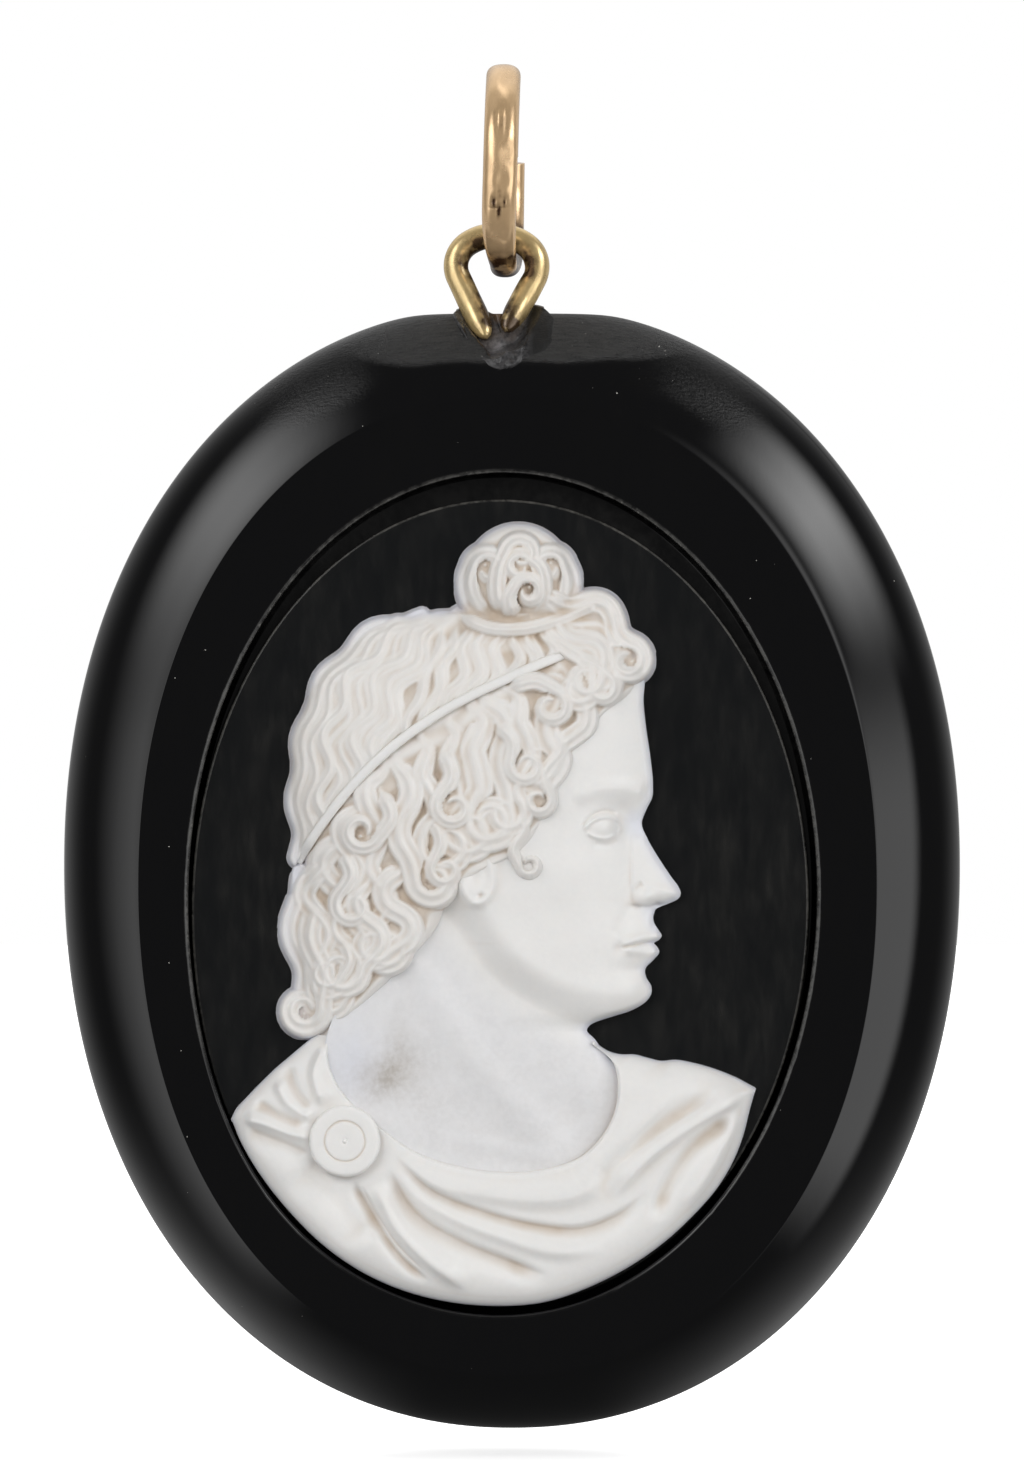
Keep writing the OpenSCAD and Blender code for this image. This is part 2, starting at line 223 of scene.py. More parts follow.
# A value in a node tree: one output of a node. Arithmetic with it makes Math nodes.
class Signal:
    def __init__(self, node, output=0):
        self.node, self.output, self.tree = node, output, node.id_data

    def maths(self, operation, *others, clamp=False):
        inputs = dict(enumerate((self, *others)))
        return source(self.tree, "ShaderNodeMath", 0, inputs, operation=operation, use_clamp=clamp)

    def __mul__(self, other):
        return self.maths("MULTIPLY", other)

    def __add__(self, other):
        return self.maths("ADD", other)

    # Stretched from one range to another and held within it
    def stretched(self, fromRange=(0, 1), toRange=(0, 1), kind="LINEAR"):
        ends = dict(zip(("From Min", "From Max", "To Min", "To Max"), (*fromRange, *toRange)))
        inputs = {"Value": self, **ends}
        return source(self.tree, "ShaderNodeMapRange", "Result", inputs, interpolation_type=kind)


# Adds a node to a tree and sets its inputs: a Signal is linked, all else is a plain value
def addNode(tree, kind, inputs=None, **settings):
    made = tree.nodes.new(kind)
    for key, value in settings.items():
        setattr(made, key, value)
    for key, value in (inputs or {}).items():
        connect(made.inputs[key], value)
    return made


def connect(socket, value):
    if isinstance(value, Signal):
        socket.id_data.links.new(value.node.outputs[value.output], socket)
    else:
        socket.default_value = value


def largest(first, *others):
    for other in others:
        first = first.maths("MAXIMUM", other)
    return first


# One output of a new node
def source(tree, kind, output, inputs=None, **settings):
    return Signal(addNode(tree, kind, inputs, **settings), output)


# Colour b over colour a where the mask is 1
def blended(mask, a, b):
    return source(mask.tree, "ShaderNodeMix", 2, {"Factor": mask, 6: a, 7: b}, data_type="RGBA")


# Bump of a height in millimetres
def relief(height, depth):
    return source(height.tree, "ShaderNodeBump", "Normal", {"Height": height, "Distance": depth * mm})


def attribute(tree, name):
    return source(tree, "ShaderNodeAttribute", "Fac", attribute_name=name)


# Cloudy mottling: a fine and a coarse noise multiplied, then stretched
def buildMottle(tree, given):
    place, scale = given("Position"), given("Scale")
    coarse = source(tree, "ShaderNodeTexNoise", "Fac", {"Vector": place, "Scale": scale, "Detail": 4})
    fine = source(tree, "ShaderNodeTexNoise", "Fac", {"Vector": place, "Scale": scale * 3.7})
    return (coarse * fine).stretched((given("Low"), given("High")))


# Specks: the middles of scattered cells, each of its own size, kept where a random number is below Share
def buildSpecks(tree, given):
    cells = addNode(tree, "ShaderNodeTexVoronoi", {"Vector": given("Position"), "Scale": given("Scale")})
    pick = addNode(tree, "ShaderNodeSeparateColor", {"Color": Signal(cells, "Color")})
    size = given("Size") * Signal(pick, 1).maths("POWER", 1.6)
    dot = Signal(cells, "Distance").maths("LESS_THAN", size)
    return dot * Signal(pick, 0).maths("LESS_THAN", given("Share"))


# Fine scratches or brush marks: noise drawn out along one direction by the Position that is fed in
def buildStreaks(tree, given):
    inputs = {"Vector": given("Position"), "Scale": given("Scale"), "Detail": 3}
    return source(tree, "ShaderNodeTexNoise", "Fac", inputs).stretched((given("Low"), given("High")))


# A shader group with a Position, named numbers and one Mask that comes out, filled in by build(tree, given)
def effectGroup(name, numbers, build):
    tree = bpy.data.node_groups.new(name, "ShaderNodeTree")
    tree.interface.new_socket("Position", in_out="INPUT", socket_type="NodeSocketVector")
    for key, value in numbers.items():
        tree.interface.new_socket(key, in_out="INPUT", socket_type="NodeSocketFloat").default_value = value
    tree.interface.new_socket("Mask", in_out="OUTPUT", socket_type="NodeSocketFloat")
    inlet = tree.nodes.new("NodeGroupInput")
    addNode(tree, "NodeGroupOutput", {"Mask": build(tree, lambda key: Signal(inlet, key))})
    return tree


mottle = effectGroup("mottle", {"Scale": 300, "Low": 0.15, "High": 0.4}, buildMottle)
specks = effectGroup("specks", {"Scale": 900, "Size": 0.2, "Share": 0.1}, buildSpecks)
streaks = effectGroup("streaks", {"Scale": 60, "Low": 0.35, "High": 0.65}, buildStreaks)


# One use of a group in a material, its pattern stretched by three factors and turned
def effect(tree, group, stretch=(1, 1, 1), turn=(0, 0, 0), **numbers):
    place = source(tree, "ShaderNodeTexCoord", "Object")
    place = source(tree, "ShaderNodeMapping", 0, {"Vector": place, "Scale": stretch, "Rotation": turn})
    return source(tree, "ShaderNodeGroup", "Mask", {"Position": place, **numbers}, node_tree=group)


# A material with one Principled shader. fixed holds its plain socket values.
def newMaterial(name, fixed):
    material = bpy.data.materials.new(name)
    material.use_nodes = True
    shader = material.node_tree.nodes["Principled BSDF"]
    for key, value in fixed.items():
        shader.inputs[key].default_value = value
    return material, material.node_tree, shader


def feed(shader, **signals):
    for key, signal in signals.items():
        connect(shader.inputs[key.replace("_", " ")], signal)


# The view: straight on from the front, far enough off that the oval shows no perspective. The framing is
# right for the plane that lies at planeY.
view = {"lens": 350, "x": 0.46, "z": -29.73, "distance": 656.9, "planeY": -2, "clip": (0.05, 20)}


def makeCamera():
    lens = bpy.data.cameras.new("camera")
    lens.lens = view["lens"]
    lens.clip_start, lens.clip_end = view["clip"]
    camera = bpy.data.objects.new("camera", lens)
    camera.location = [view["x"] * mm, (view["planeY"] - view["distance"]) * mm, view["z"] * mm]
    camera.rotation_euler = (math.pi / 2, 0, 0)
    bpy.context.scene.collection.objects.link(camera)
    bpy.context.scene.camera = camera
    bpy.context.scene.view_settings.view_transform = "Standard"


# Studio, aimed at middle (x, z), with the boxes distance metres away. boxes light matte surfaces only:
# name, degrees off the camera's axis, degrees round it from the right, half width and half height in
# degrees, brightness. glows: name, then middle, half width and softness in degrees off the axis, the
# same round it, then brightness in reflections and on matte surfaces, as in ambient. The flat front
# mirrors none of them, the rounded band mirrors what lies 40 degrees off and more.
studio = {
    "middle": (0, -36),
    "distance": 0.5,
    "ambient": (0.09, 0.13),
    "boxes": [("keyBox", 28, 135, 9, 10, 5.2), ("fillBox", 25, 20, 9, 15, 3.3)],
    "glows": [
        ("right", 51.5, 15.5, 4.5, -9.5, 22, 9, 1.5, 1.7),
        ("upperRight", 61, 15.5, 11, 35, 10, 11, 4.9, 2.6),
        ("upperLeft", 54, 17, 13, 141, 14, 13, 3.1, 2.8),
        ("left", 48, 14, 20, 193, 32, 10, 1.25, 0.5),
        ("lowRight", 118, 30, 34, -46, 16, 18, 0.7, 0.2),
        ("lowLeft", 118, 30, 34, 226, 16, 18, 0.75, 0.2),
        ("behind", 150, 42, 20, 90, 122, 26, 0.4, 0.3),
        ("nearLeft", 29, 5, 5, 178, 42, 20, 1.4, 0),
        ("nearRight", 29, 5, 5, 2, 42, 20, 1.4, 0),
        ("crown", 96, 11, 10, 90, 6, 8, 1.1, 0),
        ("above", 124, 38, 18, 90, 34, 24, 0.35, 0.3),
        ("below", 92, 40, 26, -90, 50, 40, 0, 0.4),
    ],
}


# A soft box: an area light that faces the pendant and shows in no reflection
def makeLight(name, off, around, halfWide, halfHigh, brightness):
    off, around = math.radians(off), math.radians(around)
    way = np.array([math.sin(off) * math.cos(around), -math.cos(off), math.sin(off) * math.sin(around)])
    lamp = bpy.data.lights.new(name, "AREA")
    lamp.shape = "RECTANGLE"
    lamp.size = 2 * studio["distance"] * math.tan(math.radians(halfWide))
    lamp.size_y = 2 * studio["distance"] * math.tan(math.radians(halfHigh))
    lamp.energy = 4 * lamp.size * lamp.size_y * brightness
    light = bpy.data.objects.new(name, lamp)
    middleX, middleZ = studio["middle"]
    light.location = np.array([middleX, groundY, middleZ]) * mm + studio["distance"] * way
    light.rotation_euler = Vector(-way).to_track_quat("-Z", "Y").to_euler()
    light.visible_camera = False
    light.visible_glossy = False
    bpy.context.scene.collection.objects.link(light)


# 1 inside a window of an angle in degrees, falling softly to 0 over its edges
def window(angle, middle, half, soft):
    away = angle.maths("SUBTRACT", middle).maths("WRAP", 180, -180).maths("ABSOLUTE")
    return away.stretched((half + soft, half - soft), kind="SMOOTHSTEP")


# White behind the object for the camera, a dim room with soft glows for every other ray
def makeWorld():
    world = bpy.data.worlds.new("studio")
    bpy.context.scene.world = world
    world.use_nodes = True
    tree = world.node_tree
    way = addNode(tree, "ShaderNodeSeparateXYZ", {0: source(tree, "ShaderNodeTexCoord", "Generated")})
    x, y, z = (Signal(way, axis) for axis in "XYZ")
    off = (y * -1).maths("ARCCOSINE") * (180 / math.pi)
    around = z.maths("ARCTAN2", x) * (180 / math.pi)
    mirrored, matte = studio["ambient"]
    for _, offMiddle, offHalf, offSoft, middle, half, soft, inMirror, onMatte in studio["glows"]:
        glow = window(off, offMiddle, offHalf, offSoft) * window(around, middle, half, soft)
        mirrored = glow.maths("MULTIPLY_ADD", inMirror, mirrored)
        matte = glow.maths("MULTIPLY_ADD", onMatte, matte)
    rays = addNode(tree, "ShaderNodeLightPath")
    diffuse, direct = Signal(rays, "Is Diffuse Ray"), Signal(rays, "Is Camera Ray")
    room = source(tree, "ShaderNodeMix", 0, {"Factor": diffuse, 2: mirrored, 3: matte})
    background = tree.nodes["Background"]
    background.inputs["Color"].default_value = (1, 1, 1, 1)
    seen = source(tree, "ShaderNodeMix", 0, {"Factor": direct, 2: room, 3: 1})
    connect(background.inputs["Strength"], seen)


# The floor: a round white sheet just under the pendant that glows as painted light, weakest near the
# pendant, a painted soft shadow, and plain white farther out
floorShape = {
    "gap": 1.3,
    "radius": 1600,
    "thick": 2,
    "columns": 96,
    "shadowRadius": 5,
    "clearRadius": 15,
    "paintedGlow": (0.62, 1.1),
}


def makeFloor():
    f = floorShape
    turn = fullTurn(f["columns"])
    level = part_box("frame")[0].z / mm - f["gap"]
    rings = [np.stack([f["radius"] * np.cos(turn), f["radius"] * np.sin(turn), 0 * turn + z], -1)
             for z in (level - f["thick"], level)]
    floor = meshFromRings("floor", rings, {})
    fixed = {"Base Color": (0.86, 0.86, 0.86, 1), "Roughness": 0.9, "Specular IOR Level": 0,
             "Emission Color": (1, 1, 1, 1)}
    material, tree, shader = newMaterial("floorWhite", fixed)
    place = source(tree, "ShaderNodeTexCoord", "Object")
    flat = source(tree, "ShaderNodeVectorMath", 0, {0: place, 1: (1, 1, 0)}, operation="MULTIPLY")
    away = source(tree, "ShaderNodeVectorMath", "Value", {0: flat}, operation="LENGTH")
    reach = (f["shadowRadius"] * mm, f["clearRadius"] * mm)
    # painted light: the floor's own glow grows with distance from the pendant, so a soft painted shadow
    # lies beneath it
    feed(shader, Emission_Strength=away.stretched(reach, f["paintedGlow"]))
    floor.data.materials.append(material)
    floor.visible_glossy = False
    floor.visible_diffuse = False


makeCamera()
makeWorld()
for row in studio["boxes"]:
    makeLight(*row)
makeFloor()
print("camera, lights and floor set")


# Jump ring: thick rose gold wire, cut at the back, hanging edge-on
jumpRing = {
    "innerRadius": 3.73,
    "wireThick": 1.2,
    "wireWide": 1.58,
    "squareness": 2.5,
    "cutAt": 9,
    "cutGap": 4,
    "steps": 420,
    "around": 56,
    "worn": (258, 27, 0.2, 0.07),  # thinned by the bail: degrees, half width, shares of width and thickness
    "uneven": (0.012, 2.3),  # depth and length of the waves in the outer face
    # how far the wire strays sideways: degrees along the ring from its cut, sideways place
    "sway": [(7, -0.05), (90, 0.07), (180, -0.08), (215, -0.14), (270, 0.12), (363, 0.26)],
    # dents in the outer face: degrees, sideways place, half sizes along and across, depth
    "dents": [(153, 0, 0.75, 0.16, 0.15), (172, 0.3, 0.42, 0.35, 0.09), (187, 0.1, 0.4, 0.3, 0.08),
              (199, -0.25, 0.22, 0.08, 0.13), (199, 0.22, 0.26, 0.07, 0.12), (204, 0, 0.3, 0.06, 0.11),
              (195, 0.02, 0.26, 0.05, 0.09), (228, -0.2, 0.7, 0.3, 0.06), (120, 0.25, 0.8, 0.3, 0.06),
              (202, 0, 0.022, 0.45, 0.05), (216, 0.15, 0.3, 0.2, 0.05), (140, -0.35, 0.5, 0.2, 0.05)],
    "nick": 0.1,  # a dent narrower than this holds dirt
    "stain": (152, -0.1, 7, 0.3, 0.4),  # degrees, sideways place, half sizes of both, strength
}


# The section, a superellipse, is carried round a circle in the ring's plane, swayed sideways, worn thin at
# the bottom and dented. Two smaller rings at each end give the cut faces a crisp flat. Tarnish lies inside
# the ring's foot, along its lower right, in one stain and in the nicks.
def makeJumpRing(material):
    r = jumpRing
    start, end = r["cutAt"] + r["cutGap"] / 2, 360 + r["cutAt"] - r["cutGap"] / 2
    shrink = np.concatenate([[0.5, 0.93], np.ones(r["steps"]), [0.93, 0.5]])[:, None]
    deg = np.concatenate([[start, start], np.linspace(start, end, r["steps"]), [end, end]])[:, None]
    turn = fullTurn(r["around"])[None]
    place, half, lessWide, lessThick = r["worn"]
    worn = hump(deg, place, half)
    across = 0.5 * r["wireWide"] * (1 - lessWide * worn) * signedPower(np.cos(turn), 2 / r["squareness"])
    out = 0.5 * r["wireThick"] * (1 - lessThick * worn) * signedPower(np.sin(turn), 2 / r["squareness"])
    outside = np.sin(turn) > 0
    middle = r["innerRadius"] + r["wireThick"] / 2
    *place, strength = r["stain"]
    dirt = strength * bell(deg, across, *place) * outside
    for at, side, along, wide, depth in r["dents"]:
        dent = bell((deg - at) * math.radians(1) * middle, across, 0, side, along, wide)
        out = out - depth * dent * outside
        if min(wide, along) < r["nick"]:
            dirt = dirt + 8 * depth * dent
    depth, length = r["uneven"]
    out = out + depth * softNoise(across * 2, out * 0, np.radians(deg) * middle, length, 11) * shrink
    away = middle + out * shrink
    x = tableCurve(r["sway"], deg) + across * shrink
    y = away * np.cos(np.radians(deg))
    z = -r["innerRadius"] + away * np.sin(np.radians(deg))
    rings = np.stack(np.broadcast_arrays(x, y, z), -1)
    foot = ease(-np.sin(turn), -0.2, 0.9) * hump(deg, 262, 40)
    lowerRight = 1.3 * ease(deg, 226, 258) * ease(deg, 330, 290)
    values = {"tarnish": np.clip(foot + dirt + lowerRight, 0, 1)}
    makePiece("jumpRing", "jump_ring", material, rings, values)


# Bail: round yellow gold wire bent to a teardrop, its two ends filed to points. Angles are in degrees.
bail = {
    "wire": 1.15,
    "place": (-0.2, -6.7),
    "lean": 11,
    "turn": 2,
    "topRadius": 2.3,
    "topHalf": 35,
    "sideRadius": 1.3,
    "legDeg": 26.5,
    "legLength": (2, 2.4),
    "pointLength": 0.9,
    "bend": 0.7,
    "bendReach": 2.6,
    "steps": (30, 40, 34),
    "around": 36,
}


# Half of the bail's middle line, from the top down to the tip: an arc, a tighter arc and a straight leg.
# side is 1 for the right half and -1 for the left.
def bailHalf(side):
    b = bail
    topSteps, sideSteps, legSteps = b["steps"]
    top = np.radians(np.linspace(0, b["topHalf"], topSteps))
    line = [b["topRadius"] * np.stack([np.sin(top), np.cos(top) - 1], 1)]
    turn = np.radians(np.linspace(b["topHalf"], 90 + b["legDeg"], sideSteps)[1:])
    gap = b["topRadius"] - b["sideRadius"]
    centre = np.array([gap * math.sin(top[-1]), gap * math.cos(top[-1]) - b["topRadius"]])
    line.append(centre + b["sideRadius"] * np.stack([np.sin(turn), np.cos(turn)], 1))
    leg = math.radians(b["legDeg"])
    run = np.linspace(0, b["legLength"][side < 0] + b["pointLength"] - 0.1, legSteps)[1:, None]
    line.append(line[-1][-1] + run * np.array([[-math.sin(leg), -math.cos(leg)]]))
    return np.concatenate(line) * [side, 1]


# How far the wire's ends are bent forward
def legBend(fromTip):
    return bail["bend"] * np.clip(1 - fromTip / bail["bendReach"], 0, 1) ** 2


# A round section carried along the middle line, in a plane that leans forward as it goes down. Tarnish lies
# inside the loop and at the tips.
def makeBail(material):
    b = bail
    line = np.concatenate([bailHalf(-1)[::-1], bailHalf(1)[1:]])
    side = leftOf(line)
    run = runOf(line)
    fromTip = np.minimum(run, run[-1] - run)[:, None]
    radius = b["wire"] / 2 * (0.06 + 0.94 * quarterRound(fromTip, b["pointLength"] * 1.5))
    turn = fullTurn(b["around"])[None]
    wobble = 1 + 0.02 * softNoise(line[:, :1], line[:, 1:], np.sin(turn), 2, 21)
    out = radius * np.cos(turn) * wobble
    u, v = line[:, :1] + side[:, :1] * out, line[:, 1:] + side[:, 1:] * out
    w = radius * np.sin(turn) * wobble
    tip, lean = math.radians(b["turn"]), math.radians(b["lean"])
    u, v = u * math.cos(tip) + v * math.sin(tip), v * math.cos(tip) - u * math.sin(tip)
    x = b["place"][0] + u
    y = v * math.sin(lean) + w * math.cos(lean) - legBend(fromTip)
    z = b["place"][1] + v * math.cos(lean) - w * math.sin(lean)
    inside = ease(-np.cos(turn), -0.25, 0.75) * ease(fromTip, 0, 6) ** 0.3
    tarnish = np.clip(inside + ease(fromTip, 1.5, 0.3) * 0.7, 0, 1)
    makePiece("bailWire", "bail", material, np.stack([x, y, z], -1), {"tarnish": tarnish})


# Golds. tarnish: how far a piece's tarnish value counts, how much tarnish lies everywhere.
golds = {
    "roseGold": {"clean": (1, 0.68, 0.37, 1), "dark": (0.09, 0.036, 0.01, 1), "roughness": 0.17,
                 "tarnish": (3.2, 0.12)},
    "yellowGold": {"clean": (1, 0.74, 0.34, 1), "dark": (0.09, 0.05, 0.018, 1), "roughness": 0.19,
                   "tarnish": (2, 0.34)},
}


# Gold: a clean colour, a dark one where the tarnish value and the mottling say so, fine handling marks
def goldMaterial(name):
    look = golds[name]
    material, tree, shader = newMaterial(name, {"Metallic": 0.55, "IOR": 2.3})
    clouds = effect(tree, mottle, Scale=420, Low=0.14, High=0.36)
    marks = effect(tree, streaks, (1, 1, 0.25), Scale=2600, Low=0.3, High=0.7)
    mask = attribute(tree, "tarnish").maths("MULTIPLY_ADD", *look["tarnish"])
    mask = mask.maths("MULTIPLY", clouds, clamp=True)
    colour = blended(mask, look["clean"], look["dark"])
    gloss = clouds.stretched(toRange=(look["roughness"], look["roughness"] + 0.12))
    feed(shader, Base_Color=colour, Roughness=gloss, Normal=relief(marks, 0.006))
    return material


makeJumpRing(goldMaterial("roseGold"))
makeBail(goldMaterial("yellowGold"))


# Surround: a thick oval of black stone with a flat front, a crisp crease, a rounded band and a shallow
# recess. Ovals are centre x, centre z, half width, half height.
surround = {
    "rim": (0.46, -35.77, 20.66, 25.94),
    "crease": (0.25, -36.64, 16.94, 22.48),
    "recess": (0.05, -37.03, 14.4, 19.3),
    "squareness": 2.12,
    "front": -3.7,
    "drop": 3.5,
    "slopeDeg": 20,
    "rimThick": 1.4,
    "backRound": 2.2,
    "thick": 7.2,
    "depth": 2.1,
    "bevel": 0.2,
    "chips": 0.03,
    "topCut": 0.45,
    "topSoft": 0.25,
    "columns": 560,
    "crowding": 0.62,  # how much closer the columns stand at the top
    "bandRows": 46,
    "creaseSoft": (0.012, 0.36, 52, 0.42),  # least, more at one place, its degrees, half width in radians
    "swell": (222, 27, 0.033),  # the recess's growth at the lower left: degrees, half width, share
}
notch = {"x": -0.09, "halfWide": 2.07, "tip": -12.88, "back": 0.1}  # a V cut in the top, back is its y
surroundTop = surround["rim"][1] + surround["rim"][3] - surround["topCut"]


# An oval at a share of its size, grown by some millimetres
def resized(oval, share=1, grow=0):
    return oval[0], oval[1], oval[2] * share + grow, oval[3] * share + grow


# Points of an oval: a superellipse at the given angles
def ovalPoints(oval, squareness, turn):
    return np.array([oval[0] + oval[2] * signedPower(np.cos(turn), 2 / squareness),
                     oval[1] + oval[3] * signedPower(np.sin(turn), 2 / squareness)])


# Depth of the band behind the front, v millimetres outside the crease: a slope that rolls over to upright
def bandFall(v, width):
    straight = math.tan(math.radians(surround["slopeDeg"])) * width
    u = np.clip(v / width, 0, 1)
    return straight * u + (surround["drop"] - straight) * (1 - np.sqrt(1 - u * u))


# How far the angle turn lies from a place in degrees, the short way round
def degreesFrom(turn, place):
    return np.mod(np.degrees(turn) - place + 180, 360) - 180


# An ellipse whose half sizes grow at the lower left, where the bust's cut edge reaches the front's edge
def recessPoints(oval, turn):
    place, half, rise = surround["swell"]
    return ovalPoints(resized(oval, 1 + rise * hump(degreesFrom(turn, place), 0, half)), 2, turn)


# Share of the dust and painted sheen that lies in the seam: hardly any where the bust's lower edge covers
# it
def dustAndSheenShare(turn):
    return 1 - 0.9 * ease(np.abs(degreesFrom(turn, 258)), 68, 50)


# Half width of the notch at a height, below zero under its tip
def notchHalf(z):
    return notch["halfWide"] * (z - notch["tip"]) / (surroundTop - notch["tip"])


# Rings from the middle of the recess floor out over wall, bevel, front, crease, band and rim to the back.
# The crease is a soft maximum whose width grows at the upper right. The top is cut flat, and inside the
# notch the rings are pushed back to its wall. A row is its outline, its y and its dust: dust and chips,
# and on the bevel a painted light line for the white floor that the bevel would mirror.
def makeSurround(material):
    s = surround
    even = np.linspace(-math.pi, math.pi, s["columns"], endpoint=False)
    turn = math.pi / 2 + even - s["crowding"] * np.sin(even)
    recess, crease, rim, front = s["recess"], s["crease"], s["rim"], s["front"]
    width = rim[2] - crease[2]
    floorY, rimY = front + s["depth"], front + s["drop"]
    still = turn * 0
    chips = softNoise(turn * 14, still, still, 1.1, 31) * 0.6 + softNoise(turn * 14, still, still, 0.35, 32)
    chips = s["chips"] * ease(chips, 0.6, 2.2)
    rows = []
    for share in (0.02, 0.3, 0.6, 0.9, 0.985):
        rows.append((recessPoints(resized(recess, share), turn), floorY, 0.1))
    for y in (floorY - 0.02, floorY - 0.9, front + s["bevel"] + 0.08):
        rows.append((recessPoints(recess, turn), y, 0.1))
    # the seam value peaks on the bevel: dust and chips, and a painted light line for the white floor it
    # would mirror
    for k, dustAndSheen in enumerate((0.2, 0.4, 1, 0.5, 0.1)):
        up = k / 4 * math.pi / 2
        edge = recessPoints(resized(recess, grow=(s["bevel"] + chips) * (1 - math.cos(up))), turn)
        rows.append((edge, front + s["bevel"] * (1 - math.sin(up)) + chips * 0.5 * (k < 4), dustAndSheen))
    rows.append((recessPoints(resized(recess, grow=s["bevel"] + 0.03), turn), front, 0))
    inner = recessPoints(resized(recess, grow=s["bevel"] + 0.06), turn)
    middle = ovalPoints(crease, s["squareness"], turn)
    outer = ovalPoints(rim, s["squareness"], turn)
    gap = np.hypot(*(middle - inner))
    least, more, place, half = s["creaseSoft"]
    soft = least + more * hump(turn, math.radians(place), half)
    places = np.concatenate([-np.geomspace(2, 0.02, 16), [0], np.geomspace(0.02, 0.9, 14)])
    outward = width * np.sin(np.linspace(math.asin(1.1 / width), math.pi / 2, s["bandRows"]))
    for v in np.concatenate([places, outward]):
        if v < 0:
            line = middle + (inner - middle) * np.clip(-v / gap, 0, 1)
        else:
            line = middle + (outer - middle) * v / width
        rolled = 0.5 * (v + np.sqrt(v * v + soft * soft)) - 0.25 * soft * np.exp(-max(v, 0) / 0.5)
        rolled = np.maximum(rolled, 0) if v < width - 0.2 else v
        rows.append((line, front + bandFall(rolled, width), 0))
    rows += [(outer, rimY + 0.5, 0), (outer, rimY + s["rimThick"], 0)]
    deep = (s["thick"] + front) - rimY - s["rimThick"]
    for up in np.linspace(0, math.pi / 2, 13)[1:]:
        edge = ovalPoints(resized(rim, grow=-s["backRound"] * (1 - math.cos(up))), s["squareness"], turn)
        rows.append((edge, rimY + s["rimThick"] + deep * math.sin(up), 0))
    backOval = resized(rim, grow=-s["backRound"])
    for share in (0.97, 0.8, 0.5, 0.2, 0.02):
        rows.append((ovalPoints(resized(backOval, share), s["squareness"], turn), front + s["thick"], 0))
    x, z = np.stack([row[0] for row in rows], 1)
    y = np.stack([row[1] + still for row in rows])
    seam = np.array([[row[2]] for row in rows]) * dustAndSheenShare(turn)
    z = -smoothMax(-z, -surroundTop, s["topSoft"])
    inNotch = np.abs(x - notch["x"]) < notchHalf(z)
    y = np.where(inNotch & (y < notch["back"]), notch["back"], y)
    # left ground at the top edge, pitted a little on the band on both sides of it
    edge = 0.12 * softNoise(x, 0 * y, 0 * z, 3, 35)
    rough = ease(z + edge, -12.9, -12.2) * ease(np.abs(x - 0.9), 10.5, 2)
    fromMiddle = np.abs(x - 0.4)
    pitted = ease(z + 0.5 * edge, -16.5, -13.5) * ease(fromMiddle, 5, 8) * ease(fromMiddle, 14.5, 10)
    rough = np.maximum(rough, 0.16 * pitted * ease(y, -3.4, -2.9))
    makePiece("stoneSurround", "frame", material, np.stack([x, y, z], -1), {"seam": seam, "ground": rough})


# Plaque: rings from the middle of its face out to a small bevel, down its side and in again behind
plaque = {
    "oval": (-0.06, -37.48, 14.15, 18.55),
    "bevel": 0.13,
    "back": -1.65,
    "columns": 300,
    "faceRings": 40,
}


# Each station: share of the oval, millimetres inside it, y, dust and painted sheen in the seam
def makePlaque(material):
    turn = fullTurn(plaque["columns"])
    bevel, back = plaque["bevel"], plaque["back"]
    stations = [(share, 0, groundY, 0) for share in np.linspace(0.01, 0.985, plaque["faceRings"])]
    # the seam value peaks on the bevel: dust, and a painted light line along the plaque's edge
    for up in np.linspace(0, math.pi / 2, 5):
        inward, deep = bevel * (1 - math.sin(up)), bevel * 0.6 * (1 - math.cos(up))
        stations.append((1, inward, groundY + deep, math.sin(2 * up)))
    stations += [(1, 0, groundY + 0.5, 0.3), (1, 0, back, 0.2), (0.6, 0, back, 0.2), (0.02, 0, back, 0.2)]
    rings = []
    for share, inward, y, _ in stations:
        x, z = recessPoints(resized(plaque["oval"], share, -inward), turn)
        rings.append(np.stack([x, np.full(turn.shape, y), z], -1))
    seam = np.array(stations)[:, 3:] * dustAndSheenShare(turn)
    makePiece("stonePlaque", "cameo_ground", material, rings, {"seam": seam})


# Height of an oval's upper half at a place across
def ovalTop(oval, squareness, x):
    away = np.minimum(np.abs((x - oval[0]) / oval[2]), 1)
    return oval[1] + oval[3] * (1 - away ** squareness) ** (1 / squareness)


# Depth of the stone's front at a place on the band near the top
def bandDepth(x, z):
    s = surround
    low, high = (ovalTop(s[key], s["squareness"], x) for key in ("crease", "rim"))
    width = s["rim"][2] - s["crease"][2]
    return s["front"] + bandFall(np.clip((z - low) / (high - low), 0, 0.93) * width, width)


